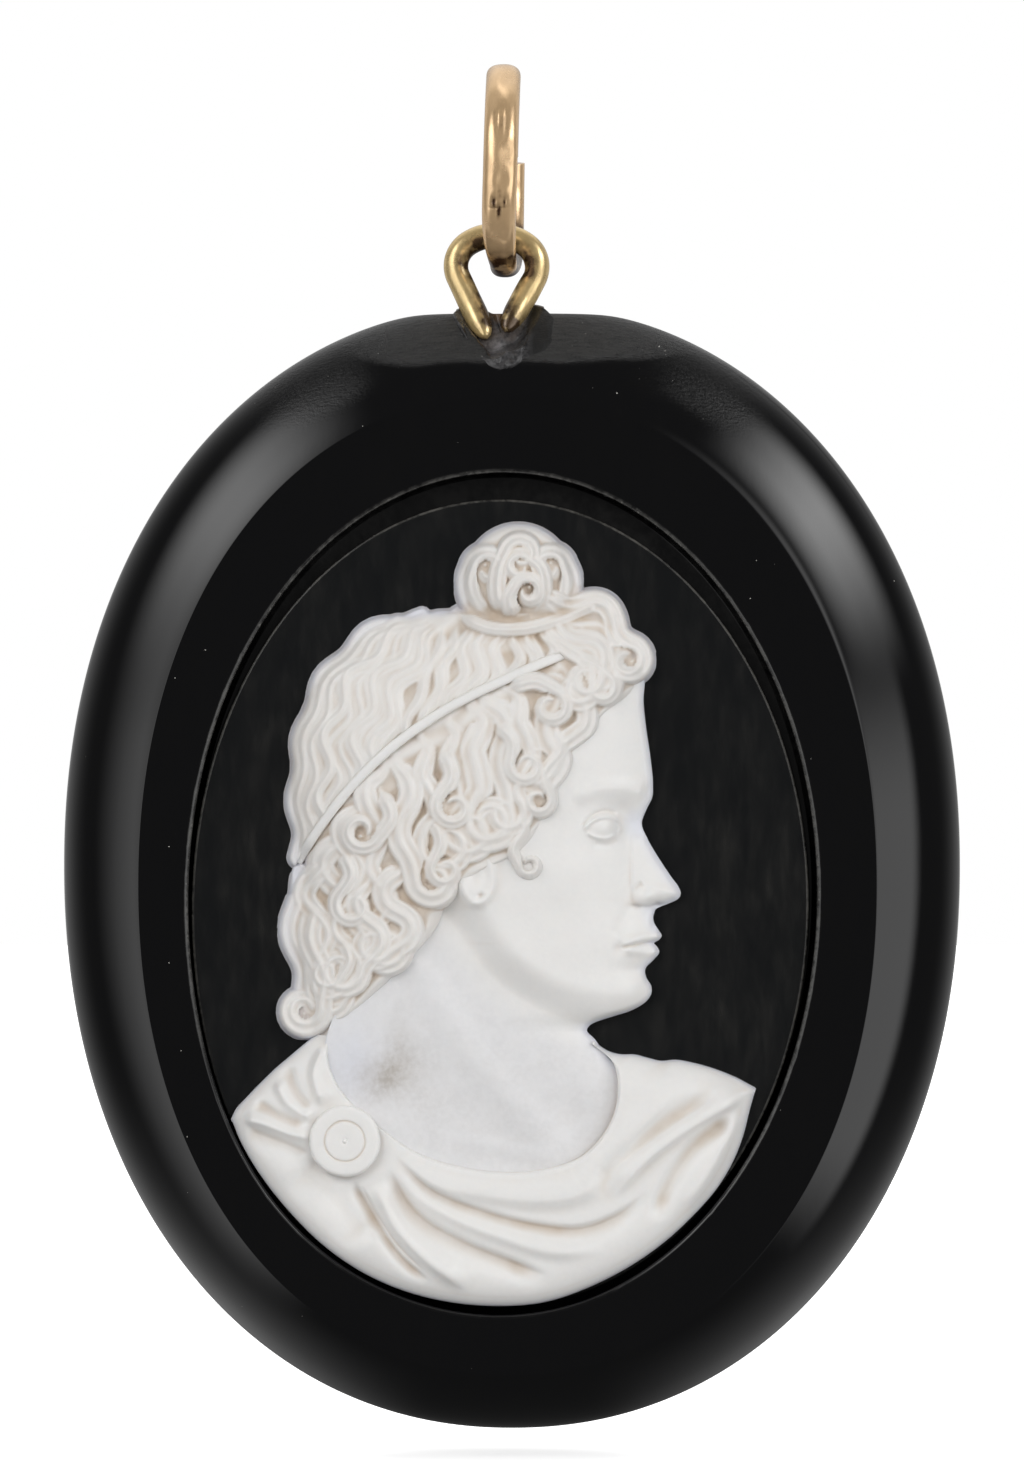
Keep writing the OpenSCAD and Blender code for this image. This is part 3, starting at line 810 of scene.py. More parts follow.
# Cement: a lumpy skin spread over the notch's edges, sunk round the wire's two ends and heaped a little on
# top. Its outline runs round from the top left.
cement = {
    "outline": [(-2.3, -10.42), (-2.12, -10.8), (-1.8, -11.35), (-1.45, -11.85), (-1.05, -12.4),
                (-0.6, -12.8), (-0.1, -12.98), (0.5, -12.86), (1.05, -12.55), (1.6, -12.3),
                (2.15, -12.05), (2.4, -11.6), (2.36, -11), (2.3, -10.45), (2, -10.16), (1.5, -9.98),
                (0.9, -10.1), (0.3, -10.3), (-0.3, -10.36), (-0.8, -10.2), (-1.4, -10), (-1.95, -10.12)],
    "columns": 240,
    "backRows": 9,
    "centre": (-0.05, -11.3),
    "film": 0.05,  # how deep its edge starts below the stone's surface
    "proud": 0.1,
    "lump": 0.1,
    "inset": 0.04,
    "wireGap": (0.5, 1),
    # the drop is raised and carries a painted glint of pale grey
    "drop": (-0.2, -11.8, 0.5, 0.28),  # a pale drop: x, z, radius, rise
    "dark": (0.01, 0.0098, 0.0102, 1),
    "lighter": (0.07, 0.068, 0.07, 1),
    # pale grey of the painted glint
    "paintedGlint": (0.27, 0.26, 0.268, 1),
    "brown": (0.15, 0.085, 0.04, 1),
    "ground": (0.003, 0.003, 0.0028, 1),
}


# Rings from the middle out to the outline: the stone's own surface, raised by a film with lumps that
# rounds down at the outline, and drawn back to the wire's middle close to each leg. Behind it the rings
# fill the notch.
def makeCement(material):
    c = cement
    corners = len(c["outline"])
    outline = lineThrough(c["outline"] + c["outline"][:3], c["columns"] + 1)
    outline = outline[:round(c["columns"] * corners / (corners + 2))]
    middle = np.array(c["centre"])
    nearEdge = 0.86 + 0.14 * np.sin(np.linspace(0, math.pi / 2, 16)[1:])
    share = np.concatenate([np.linspace(0.02, 0.86, 60), nearEdge])[:, None]
    reach = np.hypot(*(outline - middle).T)
    ragged = 1 + 0.012 * softNoise(outline[:, 0], outline[:, 1], 0 * reach, 0.8, 44) * share ** 4
    x, z = (at + (line - at) * share * ragged for at, line in zip(middle, outline.T))
    lumps = softNoise(x, 0 * x, z, 1, 41) + 0.45 * softNoise(x, 0 * x, z, 0.5, 42)
    raised = (1 - 0.75 * ease(x, 0.9, 1.5)) * (c["proud"] + c["lump"] * np.maximum(lumps, -0.7))
    dropX, dropZ, dropSize, dropRise = c["drop"]
    raised = raised + dropRise * bell(x, z, dropX, dropZ, dropSize, dropSize)
    y = bandDepth(x, z) + c["film"] - (c["film"] + raised) * quarterRound((1 - share) * reach, 0.55)
    tilt = math.radians(bail["lean"])
    near = np.full(x.shape, 9.0)
    for side in (-1, 1):
        leg = bailHalf(side)[-bail["steps"][2]:] * [1, math.cos(tilt)] + bail["place"]
        gap, _, along = nearLine(x, z, leg[::3])
        fromTip = (1 - along) * np.hypot(*(leg[-1] - leg[0]))
        wireY = (z - bail["place"][1]) * math.tan(tilt) - legBend(fromTip) + 0.1
        y = y + ease(gap, c["wireGap"][1], c["wireGap"][0]) * np.maximum(wireY - y, 0)
        near = np.minimum(near, gap + 0.8 * (fromTip > 1.2))
    half = np.maximum(notchHalf(np.minimum(z[-1], surroundTop)) - c["inset"], 0.02)
    inX = notch["x"] + np.clip(x[-1] - notch["x"], -half, half)
    inZ = np.maximum(z[-1], notch["tip"] + 0.1)
    onTop = ease(inZ, surroundTop - 0.1, surroundTop + 0.05)
    rings = [*np.stack([x, y, z], -1)]
    for deep in np.linspace(0.15, 1, c["backRows"]):
        backY = y[-1] + (notch["back"] - c["inset"] - y[-1]) * deep
        lump = 0.07 * softNoise(inX, backY, 0 * inZ, 0.8, 45) * onTop
        rings.append(np.stack([inX, backY, inZ + lump], -1))

    def withBack(value, behind):
        return np.concatenate([value, np.full((c["backRows"], len(outline)), behind)])

    stain = ease(z, -10.9, -10.4) * hump(x, -0.1, 0.5) + 0.15 * ease(near, 0.6, 0.35)
    # painted light: a pale glint on the drop and a fainter one below it, kept in the thin attribute
    paintedGlint = bell(x, z, dropX, dropZ, 0.34, 0.27) + 0.35 * bell(x, z, -0.6, -12.3, 0.35, 0.22, 30)
    values = {"tarnish": withBack(np.clip(stain, 0, 1), 0.5), "ground": withBack(ease(x, 1, 1.5), 0.3),
              "thinAndPaintedLight": withBack(paintedGlint, 0)}
    makePiece("settingCement", "bail_cement", material, rings, values)


# Black stones: body and streak colours, colour of dust and painted sheen, roughness, scale of the brush
# marks, how strongly they and the dust and painted sheen in the seam show
stones = {
    "blackStone": {"body": (0.0022, 0.0022, 0.0026, 1), "streak": (0.004, 0.0036, 0.0036, 1),
                   "dustAndSheen": (0.42, 0.41, 0.38, 1), "roughness": 0.06, "scale": 900, "brush": 0.2,
                   "seam": 0.3},
    "plaqueStone": {"body": (0.0055, 0.006, 0.0065, 1), "streak": (0.026, 0.025, 0.023, 1),
                    "dustAndSheen": (0.36, 0.34, 0.3, 1), "roughness": 0.13, "scale": 2200, "brush": 0.42,
                    "seam": 0.32},
}


# Black stone: near black, dust and chips with a painted light line where the seam value is high, grainy
# where it was left ground, fine specks and a few lint hairs and scratches all over
def stoneMaterial(name):
    look = stones[name]
    material, tree, shader = newMaterial(name, {"IOR": 1.54})
    seam, ground = attribute(tree, "seam"), attribute(tree, "ground")
    grains = effect(tree, mottle, Scale=9000, Low=0.16, High=0.34)
    patches = effect(tree, mottle, Scale=900, Low=0.1, High=0.36)
    clouds = effect(tree, mottle, (1, 1, 0.3), Scale=420, Low=0.14, High=0.42)
    fibres = effect(tree, streaks, (1, 1, 0.3), Scale=look["scale"], Low=0.38, High=0.72)
    rubbed = effect(tree, streaks, (0.12, 1, 1), Scale=9000, Low=0.38, High=0.62)
    fine = effect(tree, specks, Scale=3600, Size=0.17, Share=0.01)
    coarse = effect(tree, specks, (1, 1, 0.7), Scale=1500, Size=0.085, Share=0.008)
    nearSeam = effect(tree, specks, Scale=4200, Size=0.42, Share=0.3)
    motes = effect(tree, specks, Scale=6500, Size=0.24, Share=0.06)
    lint = effect(tree, specks, (1, 1, 0.3), (0, 0.5, 0), Scale=2300, Size=0.06, Share=0.006)
    scratch = effect(tree, specks, (0.2, 1, 1), (0, -0.35, 0), Scale=2300, Size=0.045, Share=0.005)
    # on the seam the dust colour is partly dust and chips, partly a painted light line along the bevel
    chips = seam * largest(nearSeam, patches * 0.75)
    sparse = (ground * 5).maths("MINIMUM", 1)
    sanded = largest(ground * ((rubbed + grains) * 0.04), sparse * (motes * 0.4))
    dustAndSheenMask = largest(fine, coarse, chips * look["seam"], sanded, largest(lint, scratch) * 0.6)
    brushed = (fibres + 0.5) * look["brush"]
    colour = blended(clouds * brushed, look["body"], look["streak"])
    colour = blended(dustAndSheenMask, colour, look["dustAndSheen"])
    wear = largest(largest(seam * patches, ground) * 0.42, brushed * 0.1)
    pits = ground * (grains + rubbed) + brushed * 0.2
    feed(shader, Base_Color=colour, Roughness=wear + look["roughness"], Normal=relief(pits, 0.02))
    return material


# Cement: dark glossy lumps, a painted pale glint on the drop, brown where the tarnish value says so, matte
# where ground
def cementMaterial():
    c = cement
    material, tree, shader = newMaterial("settingCement", {"IOR": 1.5})
    clouds = effect(tree, mottle, Scale=1500, Low=0.12, High=0.38)
    grains = effect(tree, mottle, Scale=3600, Low=0.14, High=0.34)
    flat = attribute(tree, "ground")
    # painted glint: pale grey where the thin attribute marks the drop
    paintedGlint = attribute(tree, "thinAndPaintedLight") * clouds.maths("MULTIPLY_ADD", 0.6, 0.25)
    brown = attribute(tree, "tarnish").maths("MULTIPLY", clouds + 0.25, clamp=True)
    colour = blended(clouds, c["dark"], c["lighter"])
    for mask, other in ((paintedGlint, c["paintedGlint"]), (brown, c["brown"]), (flat, c["ground"])):
        colour = blended(mask, colour, other)
    gloss = grains.stretched(toRange=(0.07, 0.24)) + flat * 0.35
    feed(shader, Base_Color=colour, Roughness=gloss, Normal=relief(grains, 0.012))
    return material


makeSurround(stoneMaterial("blackStone"))
makePlaque(stoneMaterial("plaqueStone"))
makeCement(cementMaterial())


# The bust's own outline and relief. Heights h are millimetres above the plaque's face.
bustBack = groundY + 0.012  # the relief's back lies just inside the plaque's face
edgeHeight = 0.42  # a relief's edge comes down to this height before it drops to the back

# Skin. face and neck: height at the edge, rise, reach and power of the climb. For the hollows' stain and
# painted shade: cells blurred over, depth.
skin = {
    "rows": [(-24.7, -31, 60), (-31.05, -43.4, 270), (-43.5, -51.2, 70)],  # from, to, how many
    "columns": 200,
    "finer": 1.25,  # how much closer the columns stand at the profile
    "face": (0.5, 1.72, 6, 0.68),
    "neck": (0.48, 0.84, 4.6, 0.6),
    "nose": (0.5, 0.66, 0.7),  # height at the edge, rise, reach
    "edgeRound": 0.3,
    "hollowStainAndShade": (14, 0.1),
    # profile of the face on plain thirds, a row for each turn: height, sideways place
    "profile": [
        (-24.6, 3.6), (-25.4, 5.5), (-26.4, 6.4), (-27.3, 6.55), (-28.1, 6.5), (-29.4, 6.62),
        (-30.8, 6.82), (-32, 6.93), (-32.6, 6.9), (-33.2, 6.62), (-33.8, 6.42), (-34.5, 6.68),
        (-35.4, 7.2), (-36.3, 7.8), (-36.75, 8.12), (-37.05, 8.2), (-37.32, 8.02), (-37.5, 7.62),
        (-37.68, 7.16), (-37.95, 6.98), (-38.4, 7), (-38.72, 7.2), (-38.98, 7.33), (-39.16, 7.2),
        (-39.3, 6.98), (-39.44, 7.1), (-39.72, 7.22), (-40.05, 6.98), (-40.45, 6.6), (-40.85, 6.62),
        (-41.3, 6.86), (-41.75, 6.8), (-42.15, 6.4), (-42.45, 5.8), (-42.7, 5), (-42.95, 4.25),
        (-43.3, 3.9), (-43.7, 4.25), (-44.2, 4.6), (-45.4, 5.6), (-48, 5.4), (-49.6, 4.2), (-50.6, 2.6),
        (-51.4, 0.6),
    ],
    # left limit, hidden under the hair and the mantle: height, sideways place
    "left": [
        (-24.6, 3.3), (-25.6, 4.4), (-27, 4.7), (-28.8, 3.4), (-31.8, 1.7), (-33.6, 0.7), (-35.2, -0.7),
        (-36.2, -2.4), (-37.2, -3.6), (-38.6, -4.5), (-40.2, -5.8), (-41.8, -7.2), (-43.4, -8),
        (-44.6, -8.2), (-46, -8.3), (-47.6, -7.4), (-49, -6), (-50.4, -3.6), (-51.4, -0.6),
    ],
    # line of the jaw from behind the ear to under the chin
    "jaw": [(-7, -33.6), (-3.6, -36.4), (-1.5, -38.6), (0, -40.6), (2, -41.9), (4, -42.55), (5.6, -42.9)],
    # the face's edge towards the front, smoother than the profile: height, sideways place
    "faceFront": [
        (-24.6, 3.4), (-26.4, 6), (-28.1, 6.35), (-31, 6.6), (-32.6, 6.62), (-33.8, 6.2), (-35.5, 6.15),
        (-37.6, 6.35), (-39.2, 6.7), (-40.6, 6.45), (-41.6, 6.6), (-42.5, 5.9), (-43.4, 4), (-51.4, 1),
    ],
    # swellings and hollows of the face and neck: x, z, half length, half width, turn in degrees, rise
    "features": [
        (3, -36, 1.9, 1.1, 24, 0.16), (2.3, -38.6, 1.5, 1.4, 0, -0.1),
        (5.75, -33.75, 0.62, 0.75, 0, -0.3), (5.1, -33.2, 0.9, 0.45, 15, -0.16),
        (4.35, -34.9, 1.1, 0.5, 20, -0.08), (4.72, -33.98, 0.66, 0.56, 0, 0.3),
        (3.6, -30.6, 2.2, 1.4, 0, 0.06), (6.62, -37.18, 0.46, 0.4, 10, 0.3),
        (7.5, -37.02, 0.45, 0.36, 0, 0.12), (7.28, -37.58, 0.26, 0.1, -24, -0.26),
        (6.3, -39.2, 1, 0.9, 0, 0.14), (5.32, -39.5, 0.2, 0.24, 0, -0.14),
        (6.15, -40.5, 0.8, 0.28, 0, -0.12), (5.85, -41.45, 0.85, 0.72, 0, 0.2),
        (0.2, -39.6, 1.5, 1, -40, 0.12), (3.3, -47.2, 0.9, 1, 0, -0.22),
        (-4.6, -45.6, 1.8, 1.6, 0, -0.18), (-1.15, -36.7, 0.75, 0.95, 10, 0.3),
        (-1.2, -36.3, 0.34, 0.5, 10, -0.22), (-0.98, -37.1, 0.13, 0.13, 0, -0.18),
        (6.95, -38.35, 0.5, 0.14, 75, -0.05),
    ],
    # ridges (+) and grooves (-) along lines: points, half width, rise
    "creases": [
        ([(6.7, -32.35), (5.7, -32.15), (4.5, -32.15), (3.2, -32.65)], 0.42, 0.17),
        ([(3.72, -34.12), (4.1, -33.72), (4.7, -33.5), (5.2, -33.62), (5.36, -33.86)], 0.105, 0.17),
        ([(3.62, -33.95), (4.1, -33.46), (4.75, -33.24), (5.3, -33.36)], 0.1, -0.12),
        ([(3.86, -34.2), (4.35, -34.44), (4.9, -34.46), (5.25, -34.28)], 0.095, 0.1),
        ([(4.2, -34.72), (4.9, -34.78), (5.4, -34.55)], 0.13, -0.05),
        ([(5.34, -33.8), (5.42, -34.05), (5.3, -34.3)], 0.07, 0.05),
        ([(6.5, -36.55), (6.14, -36.8), (6, -37.15), (6.1, -37.5), (6.4, -37.68)], 0.16, -0.14),
        ([(5.95, -37.4), (5.5, -38.2), (5.2, -39)], 0.26, -0.06),
        ([(7.3, -38.98), (6.6, -39), (5.9, -39.22), (5.45, -39.42)], 0.2, 0.13),
        ([(7.2, -39.3), (6.7, -39.28), (6.1, -39.38), (5.45, -39.5)], 0.085, -0.24),
        ([(7.15, -39.72), (6.6, -39.74), (6, -39.64), (5.6, -39.56)], 0.22, 0.13),
        ([(-5.4, -38.2), (-3.4, -41.2), (-1.8, -43.8), (0.4, -46.4), (2.7, -49)], 0.8, 0.22),
        ([(-0.75, -35.2), (-0.42, -36.2), (-0.62, -37.1), (-1.2, -37.5), (-1.75, -37), (-1.9, -36.2)],
         0.2, 0.22),
        ([(-6, -42.6), (-4.2, -44.8), (-1.2, -47.4), (1.4, -49.6)], 1, -0.1),
        ([(2.7, -49.2), (0.6, -48.8), (-2.4, -48.2)], 0.4, 0.1),
    ],
}
jawLine = lineThrough(skin["jaw"], 40)
profileHeights = np.linspace(-24.6, -43.9, 330)
profileLine = np.stack([tableCurve(skin["profile"], profileHeights), profileHeights], 1)


# Rounded form that climbs from start by rise over a reach inside its edge: a quarter circle at a power
# of 0.5, slower with a higher one
def climb(inside, start, rise, reach, power):
    return start + rise * (1 - (1 - np.clip(inside / reach, 0, 1)) ** 2) ** power


# Height of the face and neck: the face climbs from its front line by a rounded power, the neck climbs lower
# from the throat, the jaw steps between them by a quarter circle, the nose is a wedge of its own, and
# swellings, ridges and grooves are added. The outermost strip rounds down to the edge.
def skinHeight(x, z):
    inside = tableCurve(skin["faceFront"], z) - x
    face = climb(0.5 * (inside + np.sqrt(inside**2 + 0.16)) - 0.03, *skin["face"])
    neck = climb(tableCurve(skin["profile"], z) - x, *skin["neck"])
    jawGap, jawSide, _ = nearLine(x, z, jawLine)
    above = ease(jawGap * jawSide, -0.5, 1.3) ** 0.85
    h = neck + (face - neck) * np.where(z > -43.6, above, 0)
    fromProfile, _, _ = nearLine(x, z, profileLine)
    start, rise, reach = skin["nose"]
    nose = start + rise * (1 - np.exp(-fromProfile / reach))
    noseHere = ease(z, -37.85, -37.45) * ease(z, -33.2, -34.6) * ease(x, 5.2, 6.1)
    h = smoothMax(h, nose * noseHere, 0.1)
    for *place, rise in skin["features"]:
        h = h + rise * bell(x, z, *place)
    for points, half, rise in skin["creases"]:
        gap, _, along = nearLine(x, z, lineThrough(points, 16))
        h = h + rise * hump(gap, 0, half) * ease(along, -0.02, 0.12) * ease(along, 1.02, 0.85)
    return edgeHeight + (h - edgeHeight) * quarterRound(fromProfile, skin["edgeRound"])


# A grid between a left and a right limit, finer towards the right as power grows
def rowGrid(left, right, heights, columns, power):
    share = 1 - (1 - np.linspace(0, 1, columns)[None]) ** power
    lo, hi = tableCurve(left, heights)[:, None], tableCurve(right, heights)[:, None]
    return lo + (hi - lo) * share, np.broadcast_to(heights[:, None], (len(heights), columns))


# How much lower a point lies than its surroundings, 0 to 1, from heights blurred over reach cells
def cavityOf(h, reach, depth):
    return np.clip((blurred(h, reach) - h) / depth, 0, 1)


def padded(values):
    return np.concatenate([values[:, :1], values, values[:, -1:]], 1)


# A piece of the bust from a grid of heights: each row is closed by the back into a ring
def makeRelief(name, material, x, z, h, values, backY=bustBack):
    y = padded(groundY - h)
    y[:, [0, -1]] = backY
    values = {key: padded(value + 0 * h) for key, value in values.items()}
    makePiece(name, "cameo_bust", material, np.stack([padded(x), y, padded(z)], -1), values)


# Grime lies in the hollows of the shoulder and, as painted shade, a little towards the bottom and on the
# neck, which is also painted greyer as if thin
def makeSkin(material):
    heights = np.concatenate([np.linspace(*span) for span in skin["rows"]])
    x, z = rowGrid(skin["left"], skin["profile"], heights, skin["columns"], skin["finer"])
    h = skinHeight(x, z)
    jawGap, jawSide, _ = nearLine(x, z, jawLine)
    onNeck = ease(-jawGap * jawSide, 0.2, 2.2)
    grimeAndShade = bell(x, z, -5.3, -45.3, 1.3, 0.9, 30) + 0.5 * bell(x, z, -4.7, -43.6, 0.5, 1.2)
    # painted shade: the lower part and the neck darkened as grime and greyed as a thin layer
    grimeAndShade = grimeAndShade + 0.08 * ease(z, -42, -45) + 0.2 * bell(x, z, -4, -46, 1.6, 1, -40)
    grimeAndShade = grimeAndShade + 0.14 * onNeck
    thinAndPaintedLight = ease(h, 0.95, 0.45) + 0.55 * bell(x, z, -6.9, -44.9, 1.5, 1.8) + 0.36 * onNeck
    # beige stain and painted shade in the hollows
    values = {"hollowStainAndShade": 0.4 * cavityOf(h, *skin["hollowStainAndShade"]), "thinAndPaintedLight": thinAndPaintedLight, "grimeAndShade": grimeAndShade}
    makeRelief("bustSkin", material, x, z, h, values)


white = {
    "clean": (0.885, 0.872, 0.852, 1),
    "clouded": (0.86, 0.85, 0.835, 1),
    # beige of stain and painted shade in the hollows
    "stain": (0.62, 0.52, 0.42, 1),
    # bluish grey where thin, also painted shade on the neck
    "thinAndPaintedLight": (0.7, 0.74, 0.88, 1),
    # brown of grime, also painted shade on the neck and shoulder
    "grimeAndShade": (0.36, 0.31, 0.25, 1),
    "dot": (0.16, 0.13, 0.1, 1),
    "roughness": (0.3, 0.46),
    "fixed": {"IOR": 1.5, "Subsurface Weight": 0.18, "Subsurface Radius": (1, 0.85, 0.75),
              "Subsurface Scale": 0.0006},
}


# White layer: warm white, beige in the hollows that is stain and painted shade, bluish where thin, brown
# grime, painted shade on the neck and shoulder as grime and bluish grey, a soft polish
def whiteMaterial():
    w = white
    material, tree, shader = newMaterial("whiteStone", w["fixed"])
    clouds = effect(tree, mottle, Scale=230, Low=0.12, High=0.4)
    small = effect(tree, mottle, Scale=1100, Low=0.1, High=0.4)
    marks = effect(tree, streaks, Scale=1700, Low=0.3, High=0.7)
    dots = effect(tree, specks, Scale=620, Size=0.1, Share=0.012)
    # stain and painted shade in the hollows
    stain = attribute(tree, "hollowStainAndShade") * clouds.maths("MULTIPLY_ADD", 0.65, 0.5)
    # grime, which on the neck and shoulder is also painted shade
    dirt = attribute(tree, "grimeAndShade") * small.maths("MULTIPLY_ADD", 0.55, 0.45) * 0.55
    # thin layer, which on the neck is also painted shade
    thinAndPaintedLight = attribute(tree, "thinAndPaintedLight") * 0.5
    colour = blended(small, w["clean"], w["clouded"])
    for mask, other in ((stain, w["stain"]), (thinAndPaintedLight, w["thinAndPaintedLight"]), (dirt, w["grimeAndShade"]), (dots, w["dot"])):
        colour = blended(mask, colour, other)
    gloss = marks.stretched(toRange=w["roughness"])
    feed(shader, Base_Color=colour, Roughness=gloss, Normal=relief(marks, 0.006))
    return material


whiteStone = whiteMaterial()
makeSkin(whiteStone)


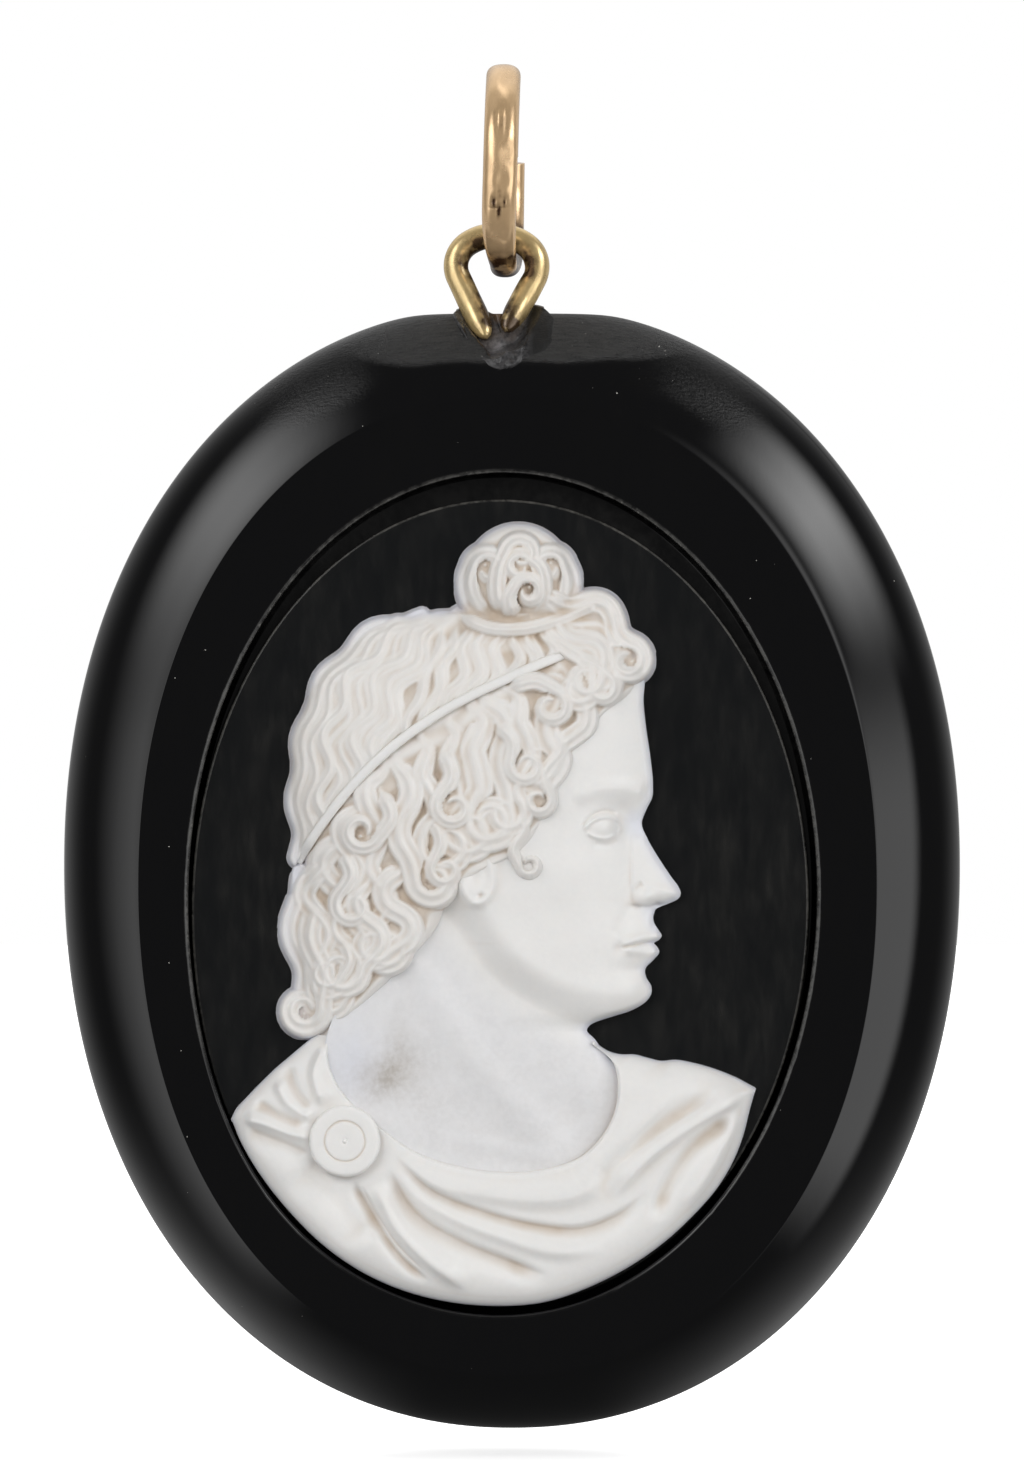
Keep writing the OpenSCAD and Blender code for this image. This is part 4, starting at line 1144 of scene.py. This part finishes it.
# Hair: a mass of the head and the knot, with locks laid over it
hair = {
    # outline of the mass, and how high it climbs: height, rise
    "outline": [
        (-3, -24), (0.5, -23.9), (3.4, -24.3), (5.6, -25.4), (6.5, -26.9), (6.3, -29), (6, -32),
        (5.8, -35), (5.6, -38), (5.4, -41), (5, -42.8), (4, -45), (4, -49), (0, -53), (-6, -50),
        (-8.2, -46), (-8.6, -43.4), (-9.2, -41), (-9.3, -39), (-8.9, -37.2), (-9.3, -34.6), (-9.7, -31.6),
        (-9.2, -28.6), (-7.8, -26.4), (-5.6, -24.8), (-3, -24),
    ],
    "massHigh": [
        (-23.5, 1.05), (-26, 1.6), (-30, 1.9), (-35, 1.9), (-38, 1.7), (-41, 1.4), (-44, 1.1), (-54, 1),
    ],
    "massEdge": 0.4,
    "massReach": 6.5,
    "massPower": 0.62,
    "knot": (0.75, -22.5, 2.5, 1.15),  # x, z, radius, rise
    "raised": 0.1,  # over the mass
    "ripple": 0.06,
    "frontRound": 0.7,
    "edgeRound": 0.35,
    "wall": 0.18,  # width of the drop at an edge
    "under": -0.1,  # the edges go on down to this height, below the plaque's face
    "back": 0.12,  # how far its back lies behind the plaque's face
    "blend": 0.06,  # width of the soft maximum between heights
    "strands": (0.13, 1.5),  # depth and number of the grooves each side of a lock's middle
    "sink": 0.22,  # how much lower a curl is
    "eye": (0.3, 0.15),  # depth and radius of the drilled eye
    "hollowStainAndShade": (50, 0.15),
    "rows": 396,
    "columns": 250,
    # limits of the grid, a little outside the locks, and the front of the hair: height, sideways place
    "gridLeft": [
        (-19.6, -2.2), (-20.4, -3), (-22, -3.6), (-23.2, -4.2), (-24.3, -6.6), (-25.6, -8.6),
        (-27.4, -10.1), (-30, -10.9), (-36, -10.9), (-42, -10.9), (-44.6, -10.4),
    ],
    "gridRight": [
        (-19.6, 3.6), (-20.4, 4.2), (-22, 4.6), (-22.9, 5.4), (-23.8, 6.7), (-25, 7.6), (-28.4, 7.6),
        (-31, 5.6), (-34, 3.9), (-36.5, 2.8), (-38.5, 0.4), (-41, -2), (-44.6, -4.6),
    ],
    "front": [
        (-24, 1.8), (-24.5, 3.6), (-25.2, 5.3), (-26.2, 6.35), (-27.2, 6.5), (-28, 6), (-28.8, 5.1),
        (-30.2, 4.2), (-31.8, 3.3), (-33.6, 2.3), (-35.2, 1), (-36.2, -0.9), (-37.2, -2.2), (-38.6, -2.9),
        (-40.2, -4.2), (-41.8, -5.8), (-43, -7), (-43.7, -7.7),
    ],
    # A family's locks lie evenly between its first and last middle line. wave: sideways swing and length of
    # a wave; curl: first radius, last radius, turns (+ turns left); wide: half width; side: 1 keeps the
    # family above the fillet, -1 below it, 0 lets it cross.
    "families": [
        # combed back over the crown, down to the fillet
        {"first": [(-3.7, -24.3), (-6.2, -25.4), (-8.3, -27.8), (-9.2, -31.2), (-9.2, -35.4)],
         "last": [(-2.9, -24.7), (-3.6, -26.1), (-4.4, -27.6), (-5, -29), (-5.3, -30.6)],
         "count": 9, "wide": 0.56, "rise": 0.34, "wave": (0.33, 2.9),
         "curl": None, "lift": 0.04, "side": 1},
        {"first": [(-2.7, -24.8), (-3.1, -26.2), (-3.7, -27.6), (-4.2, -28.9), (-4.4, -30)],
         "last": [(3.3, -23.9), (3.7, -24.5), (4, -25.2), (4.1, -25.9)],
         "count": 10, "wide": 0.54, "rise": 0.35, "wave": (0.3, 2.6),
         "curl": None, "lift": 0.04, "side": 1},
        # from the fillet down the nape
        {"first": [(-9.35, -35.9), (-9.5, -37.8), (-9.4, -39.4), (-9, -41.3)],
         "last": [(-5.3, -31.2), (-6, -33.6), (-5.6, -36.2), (-5.7, -38.8)],
         "count": 5, "wide": 0.76, "rise": 0.44, "wave": (0.46, 3.5),
         "curl": (0.9, 0.26, 1.2), "lift": 0.02, "side": -1},
        {"first": [(-8.7, -36.9), (-8.6, -39), (-8.3, -40.8), (-8.1, -42.3)],
         "last": [(-4.5, -35.2), (-5, -37.2), (-4.5, -38.8), (-4.9, -40)],
         "count": 4, "wide": 0.72, "rise": 0.46, "wave": (0.42, 3.4),
         "curl": (0.8, 0.24, -1.25), "lift": 0.12, "side": -1},
        # behind and over the ear
        {"first": [(-4.9, -30.6), (-4.2, -32.8), (-4.6, -34.8), (-3.8, -36.4)],
         "last": [(-1.4, -28.3), (-0.8, -30.4), (-1.5, -32.4), (-0.8, -34.2)],
         "count": 4, "wide": 0.8, "rise": 0.46, "wave": (0.5, 3.6),
         "curl": (0.84, 0.26, 1.2), "lift": 0.04, "side": -1},
        # temple and side of the face
        {"first": [(-1, -28), (0.3, -29.8), (-0.1, -31.8), (0.6, -33.6)],
         "last": [(2.6, -26.6), (3.7, -28), (3.2, -29.6), (2.8, -31)],
         "count": 4, "wide": 0.76, "rise": 0.46, "wave": (0.46, 3.4),
         "curl": (0.76, 0.24, -1.2), "lift": 0.08, "side": -1},
        # over the forehead
        {"first": [(1.3, -24.7), (2.7, -25.3), (3.8, -26.3), (4.2, -27.7)],
         "last": [(1.2, -23.6), (3.3, -23.7), (5.1, -24.5), (6, -25.8)],
         "count": 4, "wide": 0.7, "rise": 0.44, "wave": (0.3, 3),
         "curl": (0.72, 0.24, -1.2), "lift": 0.14, "side": 0},
    ],
    # single locks and curls laid over the rest: points, half width, rise, lift, curl or None
    "singles": [
        ([(0.2, -27.6), (1.6, -27.3), (2.6, -27.8)], 0.6, 0.46, 0.24, (0.76, 0.24, -1.2)),
        ([(3.2, -26.2), (4.3, -26.5), (5, -27.1)], 0.56, 0.44, 0.22, (0.66, 0.22, -1.15)),
        ([(-0.4, -29.1), (0.5, -30.1), (0.4, -31.1)], 0.58, 0.46, 0.26, (0.72, 0.24, 1.2)),
        ([(2.2, -29), (2.7, -30.4), (1.9, -31.6), (2.2, -32.6)], 0.54, 0.46, 0.16, (0.58, 0.22, -1.2)),
        ([(0.3, -33), (1, -34), (0.5, -35), (0.9, -35.9)], 0.46, 0.42, 0.12, (0.44, 0.18, 1.1)),
        ([(-2.8, -30.2), (-2.3, -31.6), (-2.9, -32.7)], 0.62, 0.46, 0.26, (0.8, 0.24, 1.2)),
        ([(-5.6, -32.2), (-5.1, -33.5), (-5.8, -34.6)], 0.6, 0.46, 0.26, (0.8, 0.24, -1.2)),
        ([(-3.3, -33.4), (-2.8, -34.7), (-3.2, -35.7)], 0.56, 0.46, 0.22, (0.66, 0.22, 1.2)),
        ([(-7.4, -34.9), (-6.9, -36.2), (-7.5, -37.2)], 0.6, 0.46, 0.24, (0.78, 0.24, 1.2)),
        ([(-7.4, -38.9), (-7, -40.1), (-7.5, -41)], 0.56, 0.46, 0.2, (0.66, 0.22, -1.2)),
        # gathered up into the knot: curls that fan out over it and a band of hair at its foot
        ([(-0.6, -24.4), (-1.35, -23.6), (-1.55, -22.7), (-1.3, -21.9)],
         0.66, 0.44, 0, (0.74, 0.24, -1.1)),
        ([(2.2, -24.3), (2.95, -23.5), (3.1, -22.6), (2.8, -21.8)], 0.64, 0.44, 0, (0.72, 0.24, 1.15)),
        ([(0.1, -24.3), (-0.2, -23.2), (-0.1, -22.1), (0.3, -21.2)],
         0.64, 0.46, 0.1, (0.66, 0.22, -1.15)),
        ([(1.5, -24.2), (1.9, -23.1), (1.7, -22.1), (1.1, -21.6)], 0.6, 0.46, 0.14, (0.56, 0.2, 1.1)),
        ([(0.6, -24.4), (0.35, -23.6), (0.7, -22.9)], 0.6, 0.44, 0.24, (0.62, 0.22, -1.2)),
        ([(-2.1, -24.1), (-0.9, -24.75), (0.9, -24.9), (2.5, -24.5), (4, -23.9)], 0.46, 0.46, 0.34, None),
    ],
}
rasterStep = 0.1
rasterX = np.arange(-12, 10, rasterStep)
rasterZ = np.arange(-54, -19, rasterStep)


# Height of the mass and distance inside its outline, on a raster. The mass climbs from the outline by a
# rounded power, and the knot is half a ball. A point is inside where a line to its right crosses the
# outline an odd number of times.
def headMass():
    x, z = np.meshgrid(rasterX, rasterZ)
    outline = lineThrough(hair["outline"], 160)
    gap, _, _ = nearLine(x, z, outline)
    crossings = np.zeros(x.shape, int)
    for (ax, az), (bx, bz) in zip(outline[:-1], outline[1:]):
        crossings += ((az > z) != (bz > z)) & (x < ax + (bx - ax) * (z - az) / (bz - az + 1e-12))
    inside = np.where(crossings % 2 == 1, gap, -gap)
    rise = tableCurve(hair["massHigh"], z)
    h = climb(inside, hair["massEdge"], rise, hair["massReach"], hair["massPower"])
    knotX, knotZ, radius, knotRise = hair["knot"]
    away = np.hypot(x - knotX, z - knotZ)
    ball = np.sqrt(np.clip(1 - (away / radius) ** 2, 0, 1))
    h = smoothMax(h, hair["massEdge"] + knotRise * ball, hair["blend"])
    return blurred(h, 5), np.maximum(inside, radius - away)


massRaster, insideRaster = headMass()


# A raster read at any point, mixed from its four nearest cells
def readRaster(raster, x, z):
    u = np.clip((x - rasterX[0]) / rasterStep, 0, len(rasterX) - 1.001)
    v = np.clip((z - rasterZ[0]) / rasterStep, 0, len(rasterZ) - 1.001)
    i, j = u.astype(int), v.astype(int)
    u, v = u - i, v - j
    low = raster[j, i] * (1 - u) + raster[j, i + 1] * u
    high = raster[j + 1, i] * (1 - u) + raster[j + 1, i + 1] * u
    return low * (1 - v) + high * v


# Hair band from the nape to the brow
fillet = {
    "line": [(-9.4, -35.6), (-8.3, -33.9), (-5.6, -30.8), (-2.6, -28.6), (0.6, -27), (3.7, -25.7)],
    "half": 0.23,
    "rise": 0.22,
    "over": 0.26,  # how high its middle lies over the mass
    "sunk": (0.35, 0.3),  # how far its two ends are sunk
    "rows": 120,
    "columns": 20,
}
filletLine = lineThrough(fillet["line"], fillet["rows"])


# Spiral that goes on from the end of each line without a corner, its radius shrinking evenly
def spiralFrom(line, startRadius, endRadius, turns, steps=30):
    step = line[:, -1] - line[:, -2]
    heading = np.arctan2(step[:, 1], step[:, 0])[:, None]
    u = np.linspace(0, 1, steps + 1)[None, 1:]
    radius = startRadius + (endRadius - startRadius) * u
    turned = heading + 2 * math.pi * turns * u
    stride = radius * abs(2 * math.pi * turns) / steps
    x = line[:, -1:, 0] + np.cumsum(np.cos(turned) * stride, axis=1)
    z = line[:, -1:, 1] + np.cumsum(np.sin(turned) * stride, axis=1)
    return np.concatenate([line, np.stack([x, z], -1)], 1)


# Middle lines of one family: mixes of its two lines, swung sideways, each ending in a spiral
def familyLines(family, seed, steps=44):
    rng = np.random.default_rng(seed)
    count = family["count"]
    share = np.linspace(0, 1, count)[:, None, None]
    first, last = lineThrough(family["first"], steps), lineThrough(family["last"], steps)
    line = first * (1 - share) + last * share + rng.normal(0, 0.05, (count, 1, 2))
    swing, wave = family["wave"]
    run = np.linalg.norm(np.diff(line, axis=1), axis=2).sum(axis=1)[:, None]
    run = run * np.linspace(0, 1, steps)[None]
    phase = rng.uniform(-0.16, 0.16, (count, 1)) + 0.07 * np.arange(count)[:, None]
    swing = swing * (0.45 + 0.55 * ease(share[:, :, 0], 0, 0.3))
    swing = swing * np.sin(2 * math.pi * (run / wave + phase)) * ease(run, 0, 1.2)
    line = line + leftOf(line) * swing[..., None]
    if family["curl"] is None:
        return line
    startRadius, endRadius, turns = family["curl"]
    size = rng.uniform(0.8, 1.2, (count, 1))
    return spiralFrom(line, startRadius * size, endRadius * size, turns)


# Every lock as (line, half width, rise, lift, whether it curls, side of the fillet), the lowest ones first
def allLocks():
    made = []
    for seed, family in enumerate(hair["families"], 1):
        rng = np.random.default_rng(seed + 100)
        for line in familyLines(family, seed):
            wide = family["wide"] * rng.uniform(0.88, 1.12)
            lift = family["lift"] + rng.uniform(-0.06, 0.1)
            made.append((line, wide, family["rise"], lift, family["curl"] is not None, family["side"]))
    for points, wide, rise, lift, curl in hair["singles"]:
        line = lineThrough(points, 44)[None]
        line = spiralFrom(line, *curl) if curl else line
        made.append((line[0], wide, rise, lift, curl is not None, 0))
    return made


# A height brought down to the plaque near an edge: rounded over edgeRound, then a steep wall. d is the
# distance inside the edge.
def walled(h, d):
    h = edgeHeight + (h - edgeHeight) * quarterRound(d, hair["edgeRound"])
    return hair["under"] + (h - hair["under"]) * np.clip((d + hair["wall"] / 2) / hair["wall"], 0, 1)


# Carved hair: the mass, raised a little, with every lock laid over it. A lock is a dome across its line
# with strand grooves, thin and sunk at its root, narrow and lower in its curl, which has a drilled eye.
# Heights join by a soft maximum, so valleys are rounded as a graver leaves them.
def hairHeight(x, z):
    front = tableCurve(hair["front"], z) - x
    onKnot = z > -24.2
    mass = readRaster(massRaster, x, z)
    waves = np.sin(5.2 * (0.62 * x - z) + 1.6 * np.sin(1.1 * x + 0.6 * z))
    h = mass + hair["raised"] + hair["ripple"] * waves
    h = 0.25 + (h - 0.25) * quarterRound(front, hair["frontRound"])
    h = walled(np.where(onKnot, mass, h), readRaster(insideRaster, x, z))
    h = np.where((front > 0) | onKnot, h, hair["under"])
    filletGap, filletSide, _ = nearLine(x, z, filletLine[::6])
    h = h - 0.12 * hump(filletGap, 0, 0.4) * (h > 0.3)
    above = (filletGap * filletSide).ravel()
    flatX, flatZ, total = x.ravel(), z.ravel(), h.ravel()
    strandDepth, strands = hair["strands"]
    eyeDepth, eyeRadius = hair["eye"]
    for line, wide, rise, lift, curled, side in allLocks():
        low, high = line.min(axis=0) - wide, line.max(axis=0) + wide
        near = (flatX > low[0]) & (flatX < high[0]) & (flatZ > low[1]) & (flatZ < high[1])
        px, pz = flatX[near], flatZ[near]
        gap, lockSide, t = nearLine(px, pz, line)
        thinned = 0.42 if curled else 0.1
        half = wide * (0.6 + 0.4 * ease(t, 0, 0.14)) * (1 - thinned * ease(t, 0.6, 1))
        s = lockSide * np.clip(gap / half, 0, 1)
        dome = (1 - s * s) ** 0.55 * (1 - strandDepth * (1 - np.cos(2 * math.pi * strands * s)))
        top = rise * (0.25 + 0.75 * ease(t, -0.02, 0.16)) * dome
        if curled:
            top = top - hair["sink"] * ease(t, 0.72, 1)
            top = top - eyeDepth * hump(np.hypot(px - line[-4, 0], pz - line[-4, 1]), 0, eyeRadius)
        top = top + readRaster(massRaster, px, pz) + lift * ease(t, 0, 0.2)
        inside = half - gap
        if side:
            inside = np.minimum(inside, side * above[near] + 0.08)
        before = total[near]
        joined = smoothMax(before, walled(top, inside), hair["blend"])
        total[near] = np.where(inside > -hair["wall"] / 2, joined, before)
    return total.reshape(x.shape)


# Hair: one grid of heights, its hollows given beige stain and painted shade, and a little over all of it
def makeHair(material):
    heights = np.linspace(-19.6, -44.6, hair["rows"])
    x, z = rowGrid(hair["gridLeft"], hair["gridRight"], heights, hair["columns"], 1)
    h = hairHeight(x, z)
    # painted shade: beige in the hollows, and a little over all the hair to darken it
    low = np.clip(0.2 + cavityOf(h, *hair["hollowStainAndShade"]), 0, 1)
    values = {"hollowStainAndShade": low, "thinAndPaintedLight": ease(h, 0.95, 0.45), "grimeAndShade": 0}
    makeRelief("bustHair", material, x, z, h, values, groundY + hair["back"])


# Fillet: a narrow rounded band laid over the hair from the nape to the brow, sunk at both ends
def makeFillet(material):
    turn = fullTurn(fillet["columns"])[None]
    place = filletLine[:, None] + leftOf(filletLine)[:, None] * (fillet["half"] * np.cos(turn))[..., None]
    x, z = place[..., 0], place[..., 1]
    along = np.linspace(0, 1, len(filletLine))[:, None]
    middle = readRaster(massRaster, filletLine[:, :1], filletLine[:, 1:]) + fillet["over"]
    napeEnd, browEnd = fillet["sunk"]
    middle = middle - browEnd * ease(along, 0.86, 1) - napeEnd * ease(along, 0.07, 0)
    h = middle + np.where(np.sin(turn) > 0, fillet["rise"], 0.5) * signedPower(np.sin(turn), 0.6)
    # painted shade: beige along the band's underside, where it meets the hair
    low = np.clip(1 - np.sin(turn), 0, 1) ** 2 * 0.6
    rings = np.stack([x, groundY - h, z], -1)
    makePiece("bustFillet", "cameo_bust", material, rings, {"hollowStainAndShade": low, "thinAndPaintedLight": 0, "grimeAndShade": 0})


makeHair(whiteStone)
makeFillet(whiteStone)


# Mantle: cloth lofted from the neck opening out to the bust's outline. Stations run from the left shoulder
# round the bottom to the right shoulder: collar x, collar z, share of the way along the outline.
mantle = {
    "stations": [
        (-7.9, -43.55, 0), (-7.9, -44.8, 0.035), (-7.3, -46.1, 0.085), (-5.8, -47.5, 0.16),
        (-4, -48.8, 0.26), (-1.4, -49.6, 0.38), (1.5, -49.7, 0.52), (3.7, -49, 0.66), (4.9, -47.6, 0.79),
        (5.3, -46.1, 0.89), (5.1, -44.8, 0.965), (4.1, -43.9, 1),
    ],
    "columns": 470,
    "rows": [(0, 0.06, 30), (0.06, 0.93, 130), (0.93, 1, 32)],  # from collar to hem: from, to, how many
    "skin": 0.95,  # heights at the collar, of the cloth and at the hem
    "cloth": 1.62,
    "edge": 0.45,
    "hem": 1.7,  # widths over which the hem and the collar round down
    "roll": 0.16,
    "sink": 0.12,  # under the brooch
    "hollowStainAndShade": (110, 0.3),
    # the outline's three parts: left shoulder, the cut edge along the plaque, right shoulder
    "leftShoulder": [
        (-8.55, -43.5), (-9.1, -43.95), (-9.75, -44.5), (-10.4, -45.05), (-11, -45.63), (-11.7, -46.35),
        (-12.25, -46.98), (-12.42, -47.35),
    ],
    "cutEdge": [
        (-12.42, -47.35), (-12.05, -48.3), (-11.64, -49.08), (-10.72, -50.46), (-9.57, -51.84),
        (-8.17, -53.2), (-6.16, -54.55), (-4.4, -55.3), (-2.4, -55.78), (-0.3, -55.96), (1.75, -55.82),
        (4.5, -54.87), (7.27, -53.17), (8.65, -51.93), (10, -50.37), (10.72, -49.08), (11.1, -48.05),
        (11.36, -47.01), (11.55, -46.32), (11.65, -45.95),
    ],
    "rightShoulder": [
        (11.65, -45.95), (11.28, -45.75), (10.86, -45.52), (10.29, -45.27), (9.6, -45.02), (8.8, -44.8),
        (7.9, -44.66), (7.3, -44.71), (6.7, -44.57), (6.1, -44.42), (5.4, -44.4), (4.85, -44.24),
        (4.5, -44.02), (4.2, -43.78),
    ],
    # folds: line, half width on its left and on its right, rise. Ridges first, then the creases that run
    # out from the brooch and the pockets at the right shoulder.
    "folds": [
        ([(-8.1, -43.9), (-8.6, -45.2), (-8.2, -46.8)], 0.45, 0.22, 0.34),
        ([(-10.4, -45.5), (-9.8, -46.6), (-8.6, -47.4)], 0.42, 0.22, 0.32),
        ([(-12, -47.3), (-10.9, -47.55), (-9.8, -47.95), (-8.5, -48.3)], 0.4, 0.22, 0.34),
        ([(-4.8, -48.9), (-3.6, -50), (-0.9, -50.75), (1.55, -51),
          (3.65, -50.7), (5.1, -49.4), (6.9, -47.1), (8.6, -45.2)], 0.9, 0.42, 0.34),
        ([(-5, -49.3), (-3.9, -50.7), (-2.4, -51.7), (0, -52.7), (2.4, -53.4), (4.8, -53.2)],
         0.7, 0.36, 0.32),
        ([(-5.8, -50.2), (-4.9, -52.2), (-3.3, -53.9), (-1.4, -55.2)], 0.55, 0.3, 0.4),
        ([(11.3, -46.2), (8.8, -47.6), (6.5, -49.3), (4.9, -51.1)], 0.24, 0.8, 0.4),
        ([(11, -47), (10.3, -48.4), (9.4, -50), (8.3, -51.8)], 0.4, 0.4, 0.26),
        ([(-9.9, -44.75), (-9.5, -46), (-8.7, -47.1)], 0.24, 0.42, -0.3),
        ([(-11.3, -46.5), (-10.3, -47.2), (-9, -47.75)], 0.22, 0.4, -0.28),
        ([(-11.8, -47.8), (-10.2, -48.4), (-8.6, -49.1)], 0.2, 0.7, -0.24),
        ([(-9.4, -49.3), (-7.4, -51.1), (-5.9, -53.1)], 1, 1, -0.38),
        ([(-5.05, -49), (-3.3, -50.6), (-0.7, -51.7), (1.55, -52.25),
          (3.65, -52.4), (5.1, -51.9), (6.9, -50.6)], 0.17, 0.5, -0.44),
        ([(-5.3, -49.6), (-3.95, -51.7), (-1.7, -53.1), (0.3, -53.9), (2.3, -54.7)], 0.2, 0.55, -0.5),
        ([(-6.9, -50.1), (-6.15, -51.4), (-4.8, -53.5), (-3.3, -54.9)], 0.12, 0.3, -0.34),
        ([(-6.5, -50.3), (-5.8, -51.6), (-4.6, -53.3), (-3.5, -54.4)], 0.07, 0.1, -0.14),
        ([(4.3, -50.9), (4.8, -49.9), (6.1, -48.7), (8, -47.3), (10, -46.1)], 0.45, 0.28, -0.42),
        ([(10.6, -47.2), (8.6, -48.9), (7.5, -50.6), (6.9, -52.1)], 0.4, 0.3, -0.46),
    ],
}


# Outline of the bust below the neck: left shoulder, the cut edge along the plaque, right shoulder
def mantleOutline():
    left, cut = lineThrough(mantle["leftShoulder"], 40), lineThrough(mantle["cutEdge"], 120)
    right = lineThrough(mantle["rightShoulder"], 50)
    return lineThrough(np.concatenate([left[:-1], cut, right[1:]]), 600)


# Height of the cloth: level with the skin at the collar, full past the roll of its edge, rounded down to
# the outline, with folds steep on one side and long on the other. It sinks a little under the brooch.
def makeMantle(material):
    m = mantle
    outline = mantleOutline()
    table = np.array(m["stations"])
    run = np.concatenate([[0], np.cumsum(np.hypot(*np.diff(table[:, :2], axis=0).T) + 0.4)])
    u = np.linspace(0, run[-1], m["columns"])
    collarX, collarZ, share = [tableCurve(np.stack([run, column], 1), u) for column in table.T]
    at = np.clip(share, 0, 1) * (len(outline) - 1)
    hemX, hemZ = (np.interp(at, np.arange(len(outline)), column) for column in outline.T)
    t = np.unique(np.concatenate([np.linspace(*span) for span in m["rows"]]))[:, None]
    x = collarX + (hemX - collarX) * t
    z = collarZ + (hemZ - collarZ) * t
    fromHem, _, _ = nearLine(x, z, outline[::5])
    fromCollar = t * np.hypot(hemX - collarX, hemZ - collarZ)
    body = m["edge"] + (m["cloth"] - m["edge"]) * quarterRound(fromHem, m["hem"]) ** 1.15
    h = m["skin"] + (body - m["skin"]) * quarterRound(fromCollar, m["roll"])
    h = np.minimum(h, body)
    for points, leftHalf, rightHalf, rise in m["folds"]:
        gap, side, along = nearLine(x, z, lineThrough(points, 26))
        fade = ease(along, 0, 0.16) * ease(along, 1, 0.8)
        fold = rise * hump(gap, 0, np.where(side > 0, leftHalf, rightHalf))
        h = h + fold * fade * ease(fromHem, 0, 0.9) * ease(fromCollar, 0, 0.12)
    fromBrooch = np.hypot(x - brooch["centre"][0], z - brooch["centre"][1])
    h = h - m["sink"] * ease(fromBrooch, 2.3, 1.3)
    # painted shade: beige in the hollows of the folds
    values = {"hollowStainAndShade": cavityOf(h, *m["hollowStainAndShade"]).T, "thinAndPaintedLight": ease(h, 1, 0.45).T, "grimeAndShade": 0}
    makeRelief("bustMantle", material, x.T, z.T, h.T, values)


# Brooch: a turned disc that leans by tilt. Stations run from its back edge over the rounded rim and a ring
# groove to a centre dot: share of the radius, height above the plaque's face.
brooch = {
    "centre": (-7.2, -48.35),
    "radius": 1.64,
    "tilt": (0.05, -0.04),
    "stations": [(0.96, 0.2), (0.97, 1.2), (1, 1.75), (0.995, 1.93), (0.975, 2.04), (0.94, 2.12),
                 (0.88, 2.155), (0.78, 2.16), (0.66, 2.15), (0.61, 2.14), (0.585, 2.11), (0.565, 2.075),
                 (0.545, 2.11), (0.52, 2.15), (0.46, 2.165), (0.3, 2.16), (0.14, 2.15), (0.1, 2.13),
                 (0.07, 2.11), (0.04, 2.17), (0.015, 2.19)],
    "groove": (0.565, 0.03),  # where the groove lies, half width, in shares of the radius
    "columns": 120,
    "rows": 90,
}


# The outline wavers a little, and the groove and the side hold stain and painted shade
def makeBrooch(material):
    b = brooch
    turn = fullTurn(b["columns"])
    table = np.array(b["stations"])
    fine = np.linspace(0, len(table) - 1, b["rows"])
    share, high = [np.interp(fine, np.arange(len(table)), column)[:, None] for column in table.T]
    uneven = 1 + 0.006 * softNoise(np.cos(turn), np.sin(turn), 0 * turn, 0.9, 51)
    x = b["centre"][0] + b["radius"] * share * np.cos(turn) * uneven
    z = b["centre"][1] + b["radius"] * share * np.sin(turn) * uneven
    lean = (b["tilt"][0] * np.cos(turn) + b["tilt"][1] * np.sin(turn)) * b["radius"] * share
    h = high + lean * ease(high, 1, 1.6)
    # painted shade in the groove and down the side
    groove = hump(share, *b["groove"]) * 0.55 + 0.8 * ease(high, 1.9, 1.4)
    rings = np.stack([x, groundY - h, z], -1)
    makePiece("bustBrooch", "cameo_bust", material, rings, {"hollowStainAndShade": groove, "thinAndPaintedLight": 0, "grimeAndShade": 0})


makeMantle(whiteStone)
makeBrooch(whiteStone)
